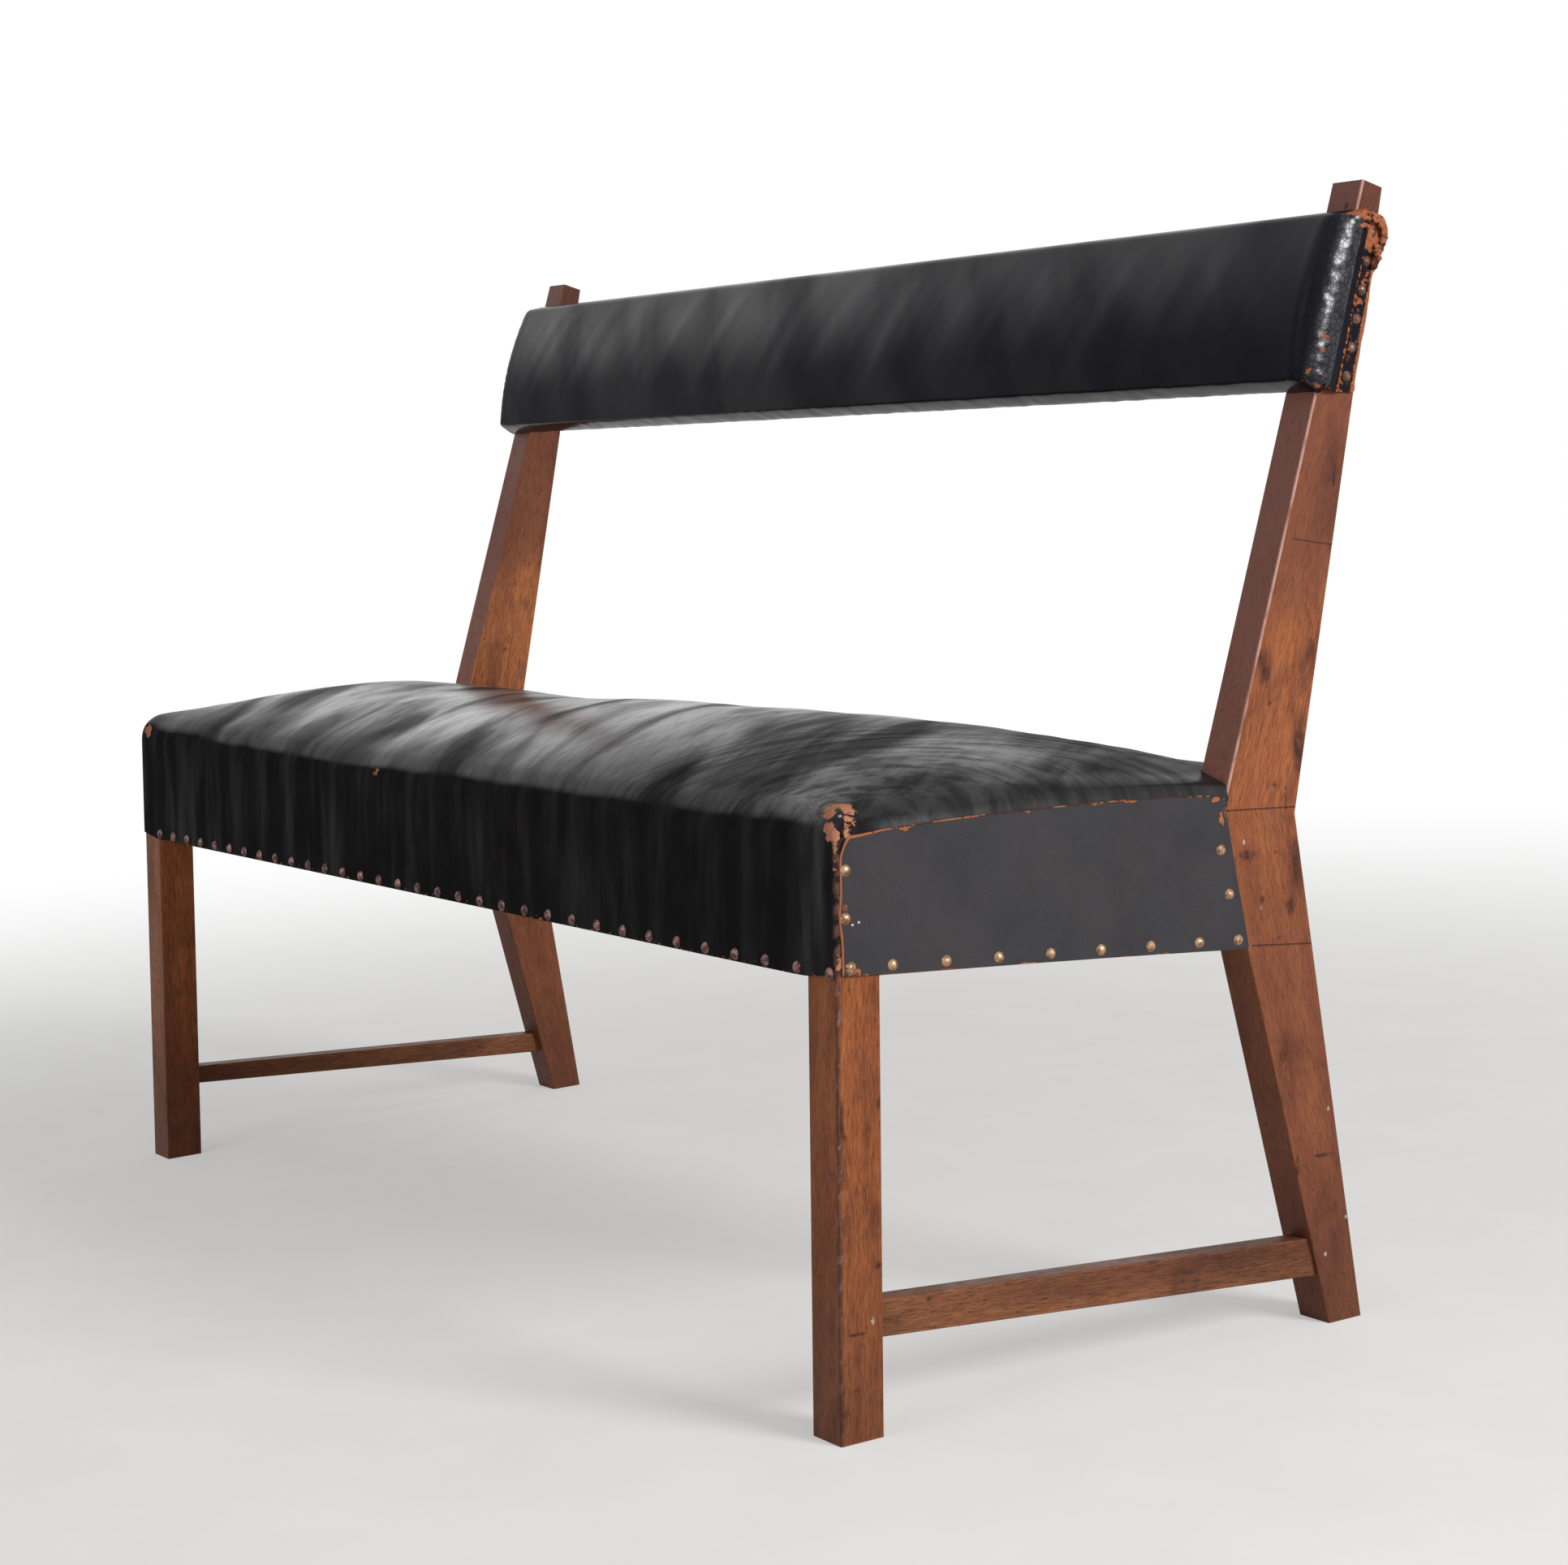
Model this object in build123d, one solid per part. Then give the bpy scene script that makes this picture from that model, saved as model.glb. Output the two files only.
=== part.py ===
from build123d import *
from math import atan2, cos, degrees, radians, sin, tan
import os

# Upholstered two-post bench: square front legs, one-piece dog-leg rear posts, deep seat rails,
# a crowned leather seat and a padded leather back rail.
# The frame is drawn square to the front legs: X along the bench, Y from front to back, Z up the
# legs, with the front faces of the front legs at Y 0. At the end it leans back onto its four feet.

LENGTH = 1320.0             # over the outer faces of the legs and posts
LEAN = 3.05                 # the whole bench leans back by this angle on a level floor
MID_DEPTH = 286.5           # from the front feet to the middle of the overall depth

LEG = 38.0                  # square front legs
POST = 35.0                 # thickness of the rear posts along the bench
ARRIS = 1.2                 # worn rounding of the long edges
RAIL = 25.0                 # thickness of the seat rails
RAIL_TOP = 436.0
RAIL_FRONT_BOTTOM = 345.0
RAIL_REAR_BOTTOM = 337.0
REAR_RAIL_Y = 406.0         # front face of the rear seat rail
STRETCHER = 20.0            # thickness of the low side stretchers
STRETCHER_INSET = 4.0       # back from the outer faces of the legs
# Underside and top of each stretcher at the front leg, then at the rear post. The left one is
# sawn from slimmer stock, and both fall a little towards the back.
STRETCHER_RIGHT = (75.7, 104.1, 64.7, 96.0)
STRETCHER_LEFT = (75.8, 94.0, 68.6, 89.6)
STRETCHER_SHOULDER = 4.0
STRETCHER_PIN = 3.0
PINS_RIGHT = [(29.2, 90.2), (468.2, 82.1)]
PINS_LEFT = [(29.2, 85.0), (468.2, 79.0)]

TENON = 10.0                # thickness of the rail tenons
TENON_LENGTH = 20.0
TENON_SHOULDER = 10.0       # rail left above and below each tenon

LEATHER = 2.0
FOLD = 4.0                  # front leather turned round each end onto the side
NAIL_HEAD = 9.5
NAIL_DOME = 3.0
NAIL_SHANK = 1.6
NAIL_LENGTH = 12.0

END = LENGTH / 2
SLOPE = tan(radians(LEAN))

# Outline of a rear post seen from the side, as (depth, height): the knee is at seat height,
# the depth tapers up to the top and down to the foot.
POST_FOOT_FRONT = (471.6, 471.6 * SLOPE)
POST_RAIL_FRONT = (386.7, 335.3)
POST_KNEE_FRONT = (361.5, 447.3)
POST_TOP_FRONT = (504.1, 933.8)
POST_TOP_REAR = (524.5, 927.9)
POST_KNEE_REAR = (435.0, 439.0)
POST_FOOT_REAR = (505.7, 505.7 * SLOPE)
POST_OUTLINE = [
    POST_FOOT_FRONT, POST_RAIL_FRONT, POST_KNEE_FRONT, POST_TOP_FRONT,
    POST_TOP_REAR, POST_KNEE_REAR, POST_FOOT_REAR,
]

# Top of the seat stuffing at stations along the bench: height and radius of the rolled front
# edge, crown over the middle of the depth, height of the rear edge. The seat has been sat into
# hollows, lowest left of the middle, and falls away to the seam at each end.
SEAT_FRONT = 0.0
SEAT_REAR = 431.0
SEAT_MID = 205.0
REAR_ROLL = 14.0
SEAT_STATIONS = [
    (-660.0, 448.0, 9.0, 457.0, 455.0),
    (-655.0, 463.0, 16.0, 471.0, 463.0),
    (-640.0, 474.0, 25.0, 486.0, 472.0),
    (-600.0, 475.0, 27.0, 499.0, 477.0),
    (-540.0, 474.0, 27.0, 505.0, 479.0),
    (-470.0, 472.0, 27.0, 502.0, 478.0),
    (-390.0, 470.0, 27.0, 497.0, 476.0),
    (-210.0, 468.0, 27.0, 495.0, 475.0),
    (-90.0, 468.0, 27.0, 500.0, 476.0),
    (30.0, 469.0, 27.0, 502.0, 478.0),
    (200.0, 470.0, 27.0, 504.0, 478.0),
    (330.0, 470.0, 27.0, 504.0, 479.0),
    (450.0, 470.0, 27.0, 500.0, 478.0),
    (600.0, 471.0, 27.0, 489.0, 474.0),
    (640.0, 469.0, 25.0, 477.0, 468.0),
    (655.0, 459.0, 16.0, 467.0, 462.0),
    (660.0, 448.0, 9.0, 457.0, 455.0),
]

# Back rail: a board on the front faces of the posts. Its section is drawn square to the leaning
# front faces, as (forward, up) from the point where the pad meets the posts at its lower edge.
PAD_FOOT_HEIGHT = 770.0
PAD_HEIGHT = 144.0
BOARD = 12.0
BOARD_END = 646.0
PAD_EDGE_LOW = (21.0, 5.0)
PAD_CROWN = (29.0, 70.0)
PAD_EDGE_HIGH = (21.5, 132.0)
PAD_END = 668.0             # the stuffing swells past the outer faces of the posts
# Rounding of the pad's ends, as (distance along from the full section, share of its reach)
PAD_ROUND = [(0, 1.0), (5, 0.93), (9, 0.78), (11.5, 0.58), (13, 0.3)]
PAD_TURN = 24.0             # leather turned onto the back of the board
PAD_LEAN = degrees(atan2(
    POST_TOP_FRONT[0] - POST_KNEE_FRONT[0],
    POST_TOP_FRONT[1] - POST_KNEE_FRONT[1],
))

HESSIAN = 1.0
WEB = 50.0                  # width of the webbing straps
WEB_THICK = 1.5
WEB_CROSS_PITCH = 120.0
WEB_CROSS_COUNT = 10
WEB_LONG_ROWS = (115.0, 215.0, 315.0)

FRONT_NAILS = 33
BACK_END_NAILS = 6
TACK_HEAD = 5.0
TACK_SHANK = 1.2
TACK_LENGTH = 9.0


def at_height(start, end, height):
    return start[0] + (end[0] - start[0]) * (height - start[1]) / (end[1] - start[1])


def post_front(height):
    if height < POST_RAIL_FRONT[1]:
        return at_height(POST_FOOT_FRONT, POST_RAIL_FRONT, height)
    if height < POST_KNEE_FRONT[1]:
        return at_height(POST_RAIL_FRONT, POST_KNEE_FRONT, height)
    return at_height(POST_KNEE_FRONT, POST_TOP_FRONT, height)


def post_rear(height):
    return at_height(POST_KNEE_REAR, POST_TOP_REAR, height)


PAD_FOOT = (post_front(PAD_FOOT_HEIGHT), PAD_FOOT_HEIGHT)


def side_slab(outline, x_low, x_high):
    """A flat piece drawn from the side as (depth, height) and given a width along the bench."""
    face = make_face(Polyline(*outline, close=True))
    return extrude(Plane.YZ.offset(x_low) * face, amount=x_high - x_low)


def block(x_low, x_high, y_low, y_high, z_low, z_high):
    size = (x_high - x_low, y_high - y_low, z_high - z_low)
    centre = ((x_low + x_high) / 2, (y_low + y_high) / 2, (z_low + z_high) / 2)
    return Pos(*centre) * Box(*size)


def on_left(shape):
    return mirror(shape, about=Plane.YZ)


def ease(shape, shortest):
    """Rounds the long edges that run up or along a piece, not those across its ends."""
    long_edges = [e for e in shape.edges() if e.length > shortest]
    return fillet(long_edges, ARRIS)


def round_bar(radius, length, start, direction):
    place = Plane(origin=start, z_dir=direction)
    return place * Cylinder(radius, length, align=(Align.CENTER, Align.CENTER, Align.MIN))


def dome_nail(head, dome, shank, length):
    """A nail that points down -Z, with the rim of its domed head on Z 0."""
    sphere = (head * head / 4 + dome * dome) / (2 * dome)
    cap = Pos(0, 0, dome - sphere) * Sphere(sphere)
    above = Box(head * 2, head * 2, dome * 2, align=(Align.CENTER, Align.CENTER, Align.MIN))
    body = Cylinder(shank / 2, length, align=(Align.CENTER, Align.CENTER, Align.MAX))
    return (cap & above) + body


def nail_row(points, outward, head=NAIL_HEAD, dome=NAIL_DOME, shank=NAIL_SHANK, length=NAIL_LENGTH):
    one = dome_nail(head, dome, shank, length)
    return [Plane(origin=p, z_dir=outward) * one for p in points]


def nail_holes(points, outward, shank=NAIL_SHANK, length=NAIL_LENGTH):
    inward = tuple(-c for c in outward)
    return Compound([round_bar(shank / 2, length, p, inward) for p in points])


SIDE_X = END - POST / 2
SIDE_TENON = (SIDE_X - TENON / 2, SIDE_X + TENON / 2)
FRONT_TENON_Y = (8.0, 8.0 + TENON)
REAR_TENON_Y = (REAR_RAIL_Y + 8.0, REAR_RAIL_Y + 8.0 + TENON)
TENON_TOP = RAIL_TOP - TENON_SHOULDER
STRETCHER_X = (END - STRETCHER_INSET - STRETCHER, END - STRETCHER_INSET)
STRETCHER_TENON = (STRETCHER_X[0] + 6, STRETCHER_X[1] - 6)

front_tenon = block(
    END - LEG, END - LEG + TENON_LENGTH, *FRONT_TENON_Y,
    RAIL_FRONT_BOTTOM + TENON_SHOULDER, TENON_TOP,
)
rear_tenon = block(
    END - POST, END - POST + TENON_LENGTH, *REAR_TENON_Y,
    RAIL_REAR_BOTTOM + TENON_SHOULDER, TENON_TOP,
)
side_tenon_front = block(
    *SIDE_TENON, LEG - TENON_LENGTH, LEG,
    RAIL_FRONT_BOTTOM + TENON_SHOULDER, TENON_TOP,
)


def rear_end(low, high, depth):
    """The sloping end of a side piece where it meets the front of the post."""
    return [(post_front(low) + depth, low), (post_front(high) + depth, high)]


side_tenon_rear = side_slab(
    rear_end(RAIL_REAR_BOTTOM + TENON_SHOULDER, TENON_TOP, 0)
    + rear_end(RAIL_REAR_BOTTOM + TENON_SHOULDER, TENON_TOP, TENON_LENGTH)[::-1],
    *SIDE_TENON,
)


def stretcher_tenons(levels):
    front_low, front_high, rear_low, rear_high = levels
    front = block(
        *STRETCHER_TENON, LEG - TENON_LENGTH, LEG,
        front_low + STRETCHER_SHOULDER, front_high - STRETCHER_SHOULDER,
    )
    low = rear_low + STRETCHER_SHOULDER
    high = rear_high - STRETCHER_SHOULDER
    outline = rear_end(low, high, 0) + rear_end(low, high, TENON_LENGTH)[::-1]
    return front, side_slab(outline, *STRETCHER_TENON)


def make_front_leg():
    outline = [(0, 0), (LEG, LEG * SLOPE), (LEG, RAIL_TOP), (0, RAIL_TOP)]
    leg = ease(side_slab(outline, END - LEG, END), 100)
    return leg - front_tenon - side_tenon_front


def make_post():
    post = ease(side_slab(POST_OUTLINE, END - POST, END), 90)
    return post - rear_tenon - side_tenon_rear


def make_side_rail():
    outline = [
        (LEG, RAIL_FRONT_BOTTOM), *rear_end(RAIL_REAR_BOTTOM, RAIL_TOP, 0), (LEG, RAIL_TOP),
    ]
    return side_slab(outline, END - RAIL, END) + side_tenon_front + side_tenon_rear


def make_stretcher(levels):
    front_low, front_high, rear_low, rear_high = levels
    outline = [(LEG, front_low), *rear_end(rear_low, rear_high, 0), (LEG, front_high)]
    return ease(side_slab(outline, *STRETCHER_X), 100)


MIDDLE_WIDTH = 32.0
MIDDLE_TOP = 424.0
MIDDLE_BOTTOM = 376.0
MIDDLE_STUB = 10.0


def make_long_rails():
    half_front = END - LEG
    front = block(-half_front, half_front, 0, RAIL, RAIL_FRONT_BOTTOM, RAIL_TOP)
    front += front_tenon + on_left(front_tenon)
    half_rear = END - POST
    rear = block(
        -half_rear, half_rear, REAR_RAIL_Y, REAR_RAIL_Y + RAIL, RAIL_REAR_BOTTOM + 3, RAIL_TOP,
    )
    rear += rear_tenon + on_left(rear_tenon)
    half = MIDDLE_WIDTH / 2
    middle = block(-half, half, RAIL, REAR_RAIL_Y, MIDDLE_BOTTOM, MIDDLE_TOP)
    stub = block(
        -half + 8, half - 8, RAIL - MIDDLE_STUB, REAR_RAIL_Y + MIDDLE_STUB,
        MIDDLE_BOTTOM + 8, MIDDLE_TOP - 8,
    )
    return front - stub, rear - stub, middle + stub


BLOCK_REACH = 72.0
BLOCK_LOW = 366.0
BLOCK_HIGH = 420.0
SCREW_SHANK = 4.0
SCREW_HEAD = 8.0
SCREW_LENGTH = 34.0


def corner_block(inner_x, face_y, towards, keep_clear):
    outline = [
        (inner_x, face_y), (inner_x - BLOCK_REACH, face_y), (inner_x, face_y + towards * BLOCK_REACH),
    ]
    face = make_face(Polyline(*outline, close=True))
    prism = Pos(0, 0, BLOCK_LOW) * extrude(face, amount=BLOCK_HIGH - BLOCK_LOW, dir=(0, 0, 1))
    return prism - keep_clear


def wood_screw(start, direction, length, shank=SCREW_SHANK, head=SCREW_HEAD):
    """A countersunk screw whose flat head lies at start and which points along direction."""
    place = Plane(origin=start, z_dir=direction)
    sink = (head - shank) / 2
    cone = Cone(head / 2, shank / 2, sink, align=(Align.CENTER, Align.CENTER, Align.MIN))
    body = Cylinder(shank / 2, length, align=(Align.CENTER, Align.CENTER, Align.MIN))
    return place * (cone + body)


def seat_section(x, front_top, front_radius, crown, rear_top, grow, drop):
    """Section across the seat: front face, rolled edge, crown, rolled rear edge, rear face."""
    def front_roll(angle):
        turn = radians(180 - angle)
        reach = front_radius + grow
        return (
            SEAT_FRONT + front_radius + reach * cos(turn),
            front_top - front_radius + reach * sin(turn),
        )

    def rear_roll(angle):
        turn = radians(angle)
        reach = REAR_ROLL + grow
        return (
            SEAT_REAR - REAR_ROLL + reach * cos(turn),
            rear_top - REAR_ROLL + reach * sin(turn),
        )

    front_foot = (SEAT_FRONT - grow, RAIL_FRONT_BOTTOM - 1 - drop)
    rear_foot = (SEAT_REAR + grow, RAIL_REAR_BOTTOM + 2 - drop)
    edges = [
        Line(front_foot, front_roll(0)),
        ThreePointArc(front_roll(0), front_roll(33), front_roll(66)),
        ThreePointArc(front_roll(66), (SEAT_MID, crown + grow), rear_roll(72)),
        ThreePointArc(rear_roll(72), rear_roll(36), rear_roll(0)),
        Line(rear_roll(0), rear_foot),
        Line(rear_foot, front_foot),
    ]
    return Plane.YZ.offset(x) * make_face(edges)


def seat_form(grow, drop):
    """The seat's form, grown outwards on all sides."""
    stretch = (END + grow) / END
    sections = []
    for x, *heights in SEAT_STATIONS:
        sections.append(seat_section(x * stretch, *heights, grow, drop))
    return loft(sections, ruled=True)


def seat_end_room():
    """The seat's end section carried on past the right end of the frame."""
    x, *heights = SEAT_STATIONS[-1]
    return extrude(seat_section(x, *heights, 0, 5), amount=2 * LEATHER, dir=(1, 0, 0))


def post_room(gap):
    """The posts and a little air, cut out of the rear corners of the upholstery."""
    outline = [
        (post_front(300) - gap, 300), (post_front(POST_RAIL_FRONT[1]) - gap, POST_RAIL_FRONT[1]),
        (post_front(POST_KNEE_FRONT[1]) - gap, POST_KNEE_FRONT[1]),
        (post_front(560) - gap, 560), (560, 560), (560, 300),
    ]
    room = side_slab(outline, END - POST - gap, END + 20)
    return room + on_left(room)


def make_webbing():
    base = RAIL_TOP
    first = -WEB_CROSS_PITCH * (WEB_CROSS_COUNT - 1) / 2
    centres = [first + WEB_CROSS_PITCH * i for i in range(WEB_CROSS_COUNT)]
    cross = [
        block(x - WEB / 2, x + WEB / 2, 3, SEAT_REAR - 3, base, base + WEB_THICK) for x in centres
    ]
    long_straps = []
    for row, y in enumerate(WEB_LONG_ROWS):
        lower = [(-END + 3, base), (centres[0] - WEB, base)]
        for i, x in enumerate(centres):
            level = base + WEB_THICK if (i + row) % 2 == 0 else base - WEB_THICK
            lower += [(x - WEB / 2 - 4, level), (x + WEB / 2 + 4, level)]
        lower += [(centres[-1] + WEB, base), (END - 3, base)]
        upper = [(x, z + WEB_THICK) for x, z in lower[::-1]]
        face = Plane.XZ * make_face(Polyline(*lower, *upper, close=True))
        long_straps.append(Pos(0, y, 0) * extrude(face, amount=WEB / 2, both=True))
    tacks = []
    for x in centres:
        for y in (15.0, SEAT_REAR - 13):
            tacks += [(x - 15, y, base + WEB_THICK), (x + 15, y, base + WEB_THICK)]
    for y in WEB_LONG_ROWS:
        for x in (-END + 14, END - 14):
            tacks += [(x, y - 15, base + WEB_THICK), (x, y + 15, base + WEB_THICK)]
    return cross, long_straps, tacks


def pad_place():
    """Plane of the pad's section: its X axis points forward from the posts, its Y axis up them."""
    turn = radians(PAD_LEAN)
    return Plane(
        origin=(0, PAD_FOOT[0], PAD_FOOT[1]),
        x_dir=(0, -cos(turn), sin(turn)),
        z_dir=(-1, 0, 0),
    )


def pad_section(x, share, grow):
    """Section of the pad at a station along it; share draws its front in towards the posts."""
    low = (PAD_EDGE_LOW[0] * share + grow, PAD_EDGE_LOW[1] - grow)
    crown = (PAD_CROWN[0] * share + grow, PAD_CROWN[1])
    high = (PAD_EDGE_HIGH[0] * share + grow, PAD_EDGE_HIGH[1] + grow)
    foot = (0, -grow)
    head = (0, PAD_HEIGHT - 2 + grow)
    edges = [
        Line(foot, low),
        ThreePointArc(low, crown, high),
        Line(high, head),
        Line(head, foot),
    ]
    return Pos(x, 0, 0) * (pad_place() * make_face(edges))


def pad_form(grow):
    stretch = (PAD_END + grow) / PAD_END
    full = PAD_END - PAD_ROUND[-1][0]
    stations = [((full + along) * stretch, share) for along, share in PAD_ROUND]
    stations = [(-x, share) for x, share in stations[::-1]] + stations
    return loft([pad_section(x, share, grow) for x, share in stations], ruled=True)


def pad_point(forward, up):
    """Depth and height of a point given in the pad's own section."""
    turn = radians(PAD_LEAN)
    return (
        PAD_FOOT[0] - forward * cos(turn) + up * sin(turn),
        PAD_FOOT[1] + forward * sin(turn) + up * cos(turn),
    )


def pad_box(x_low, x_high, n_low, n_high, s_low, s_high):
    """A piece square to the leaning posts, from its reach forward and up the posts."""
    corners = [(n_low, s_low), (n_high, s_low), (n_high, s_high), (n_low, s_high)]
    return side_slab([pad_point(*c) for c in corners], x_low, x_high)


PAD_FORWARD = (0, -cos(radians(PAD_LEAN)), sin(radians(PAD_LEAN)))
PAD_BACKWARD = tuple(-c for c in PAD_FORWARD)


def on_pad(x, forward, up):
    return (x, *pad_point(forward, up))


def make_back_cover(pad_space):
    """Leather round the board and stuffing, over both ends, and turned onto the back."""
    shell = pad_form(LEATHER) - pad_space
    closing = pad_box(END, PAD_END + LEATHER, -LEATHER, 0, -LEATHER, PAD_HEIGHT)
    low_rear = pad_point(0, 0)[1]
    high_rear = pad_point(0, PAD_HEIGHT)[1]
    flap = side_slab(
        [
            pad_point(0, -LEATHER),
            pad_point(0, PAD_HEIGHT),
            (post_rear(high_rear) - LEATHER, high_rear),
            (post_rear(low_rear) - LEATHER, low_rear - LEATHER),
        ],
        END, END + LEATHER,
    )
    between = END - POST - 0.3
    turns = pad_box(-between, between, -LEATHER, 0, -LEATHER, PAD_TURN)
    turns += pad_box(-between, between, -LEATHER, 0, PAD_HEIGHT - PAD_TURN, PAD_HEIGHT)
    ends = closing + flap
    return shell + ends + on_left(ends) + turns


nodes = {}

# Nail positions
FRONT_NAIL_START = -614.0
FRONT_NAIL_PITCH = 35.96
FRONT_NAIL_WIDENS = 0.1146  # the hand-set spacing grows from left to right
FRONT_NAIL_HEIGHT = 349.0
front_nail_points = [
    (
        FRONT_NAIL_START + FRONT_NAIL_PITCH * i + FRONT_NAIL_WIDENS * i * i,
        -LEATHER,
        FRONT_NAIL_HEIGHT,
    )
    for i in range(FRONT_NAILS)
]

SIDE_ROW_FRONT = (11.2, 353.0)
SIDE_ROW_REAR = (375.0, 343.5)
SIDE_NAIL_PITCH = 48.0
side_row = [SIDE_ROW_FRONT[0]] + [SIDE_NAIL_PITCH * (i + 1) for i in range(7)] + [SIDE_ROW_REAR[0]]
side_nail_points = [(END + LEATHER, 7.1, 424.0), (END + LEATHER, 6.8, 389.0)]
for y in side_row:
    row_fall = (SIDE_ROW_REAR[1] - SIDE_ROW_FRONT[1]) / (SIDE_ROW_REAR[0] - SIDE_ROW_FRONT[0])
    z = SIDE_ROW_FRONT[1] + row_fall * (y - SIDE_ROW_FRONT[0])
    side_nail_points.append((END + LEATHER, y, z))
side_nail_points += [(END + LEATHER, 357.5, 415.0), (END + LEATHER, 366.0, 380.0)]

REAR_NAILS = 26
REAR_NAIL_PITCH = 48.0
REAR_NAIL_HEIGHT = 347.0
rear_nail_points = [
    ((i - (REAR_NAILS - 1) / 2) * REAR_NAIL_PITCH, SEAT_REAR + LEATHER, REAR_NAIL_HEIGHT)
    for i in range(REAR_NAILS)
]

END_NAIL_LOW = (-25.0, 18.0)
END_NAIL_HIGH = (-18.0, 133.0)
end_nail_points = []
for i in range(BACK_END_NAILS):
    share = i / (BACK_END_NAILS - 1)
    forward = END_NAIL_LOW[0] + (END_NAIL_HIGH[0] - END_NAIL_LOW[0]) * share
    up = END_NAIL_LOW[1] + (END_NAIL_HIGH[1] - END_NAIL_LOW[1]) * share
    end_nail_points.append(on_pad(END + LEATHER, forward, up))

BACK_TACKS = 21
BACK_TACK_PITCH = 60.0
back_tack_points = []
for i in range(BACK_TACKS):
    x = (i - (BACK_TACKS - 1) / 2) * BACK_TACK_PITCH
    back_tack_points += [on_pad(x, -LEATHER, 12), on_pad(x, -LEATHER, PAD_HEIGHT - 12)]

front_holes = nail_holes(front_nail_points, (0, -1, 0))
side_holes = nail_holes(side_nail_points, (1, 0, 0))
rear_holes = nail_holes(rear_nail_points, (0, 1, 0))
end_holes = nail_holes(end_nail_points, (1, 0, 0))
back_tack_holes = nail_holes(back_tack_points, PAD_BACKWARD, TACK_SHANK, TACK_LENGTH)

# Screws of the back board, two to each post
board_screws = []
for up in (42, 104):
    start = on_pad(END - POST + 14, BOARD, up)
    board_screws.append(wood_screw(start, PAD_BACKWARD, SCREW_LENGTH))
board_screw_holes = Compound(board_screws)

# Corner blocks and their screws
inner = END - RAIL
half_reach = BLOCK_REACH / 2
front_leg_room = block(END - LEG, END, 0, LEG, 300, RAIL_TOP)
rear_post_room = side_slab(POST_OUTLINE, END - POST, END)
front_block = corner_block(inner, RAIL, 1, front_leg_room)
rear_block = corner_block(inner, REAR_RAIL_Y, -1, rear_post_room)
block_screws = []
for height in (380, 406):
    block_screws.append(wood_screw(
        (inner - half_reach, RAIL + half_reach, height), (1, -1, 0), 50,
    ))
    block_screws.append(wood_screw(
        (inner - half_reach, REAR_RAIL_Y - half_reach, height), (1, 1, 0), 56,
    ))
block_screw_holes = Compound(block_screws)


def make_side_frame(levels, pin_points, front_nail_holes):
    """Front leg, rear post, stretcher and pins of one side, drawn as on the right."""
    front_tenon_low, rear_tenon_low = stretcher_tenons(levels)
    side_pins = [round_bar(STRETCHER_PIN / 2, 26, (END, *p), (-1, 0, 0)) for p in pin_points]
    holes = Compound(side_pins + block_screws)
    leg = make_front_leg() - front_tenon_low - front_nail_holes - side_holes - holes
    post = make_post() - rear_tenon_low - side_holes - end_holes - board_screw_holes - holes
    stretcher = make_stretcher(levels) + front_tenon_low + rear_tenon_low - Compound(side_pins)
    return leg, post, stretcher, side_pins


right = make_side_frame(STRETCHER_RIGHT, PINS_RIGHT, front_holes)
left = make_side_frame(STRETCHER_LEFT, PINS_LEFT, on_left(front_holes))
for i, name in enumerate(("front_leg", "rear_post", "side_stretcher")):
    nodes[f"{name}_right"] = right[i]
    nodes[f"{name}_left"] = on_left(left[i])
nodes["stretcher_pins"] = right[3] + [on_left(p) for p in left[3]]

# Seat frame
cross_straps, long_straps, web_tack_points = make_webbing()
web_tack_holes = nail_holes(web_tack_points, (0, 0, 1), TACK_SHANK, TACK_LENGTH)
front_rail, rear_rail, middle_rail = make_long_rails()
side_rail = make_side_rail() - side_holes - web_tack_holes
nodes["seat_rail_front"] = front_rail - front_holes - web_tack_holes
nodes["seat_rail_rear"] = rear_rail - rear_holes - web_tack_holes
nodes["seat_rail_middle"] = middle_rail
nodes["seat_rail_right"] = side_rail
nodes["seat_rail_left"] = on_left(side_rail)

blocks = [front_block - block_screw_holes, rear_block - block_screw_holes]
nodes["corner_blocks"] = blocks + [on_left(b) for b in blocks]
nodes["corner_block_screws"] = block_screws + [on_left(s) for s in block_screws]

# Seat upholstery
nodes["webbing_cross"] = [s - web_tack_holes for s in cross_straps]
nodes["webbing_long"] = [s - web_tack_holes for s in long_straps]
nodes["webbing_tacks"] = nail_row(web_tack_points, (0, 0, 1), TACK_HEAD, 1.2, TACK_SHANK, TACK_LENGTH)

hessian_low = RAIL_TOP + 2 * WEB_THICK
hessian_high = hessian_low + HESSIAN
hessian = block(-END + 8, END - 8, 6, SEAT_REAR - 3, hessian_low, hessian_high) - post_room(1)
nodes["hessian"] = hessian

seat_space = seat_form(0, 5)
end_room = seat_end_room()
above_hessian = block(-END, END, -5, SEAT_REAR + 5, hessian_high, 600)
nodes["seat_stuffing"] = (seat_space & above_hessian) - post_room(0.3)

seat_shell = seat_form(LEATHER, 0) - seat_space - end_room - on_left(end_room)
corner_turn = block(END, END + LEATHER, 0, FOLD, RAIL_FRONT_BOTTOM - 1, RAIL_TOP)
seat_shell = seat_shell + corner_turn + on_left(corner_turn) - post_room(0.3)
nodes["seat_cover"] = seat_shell - front_holes - rear_holes

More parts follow.
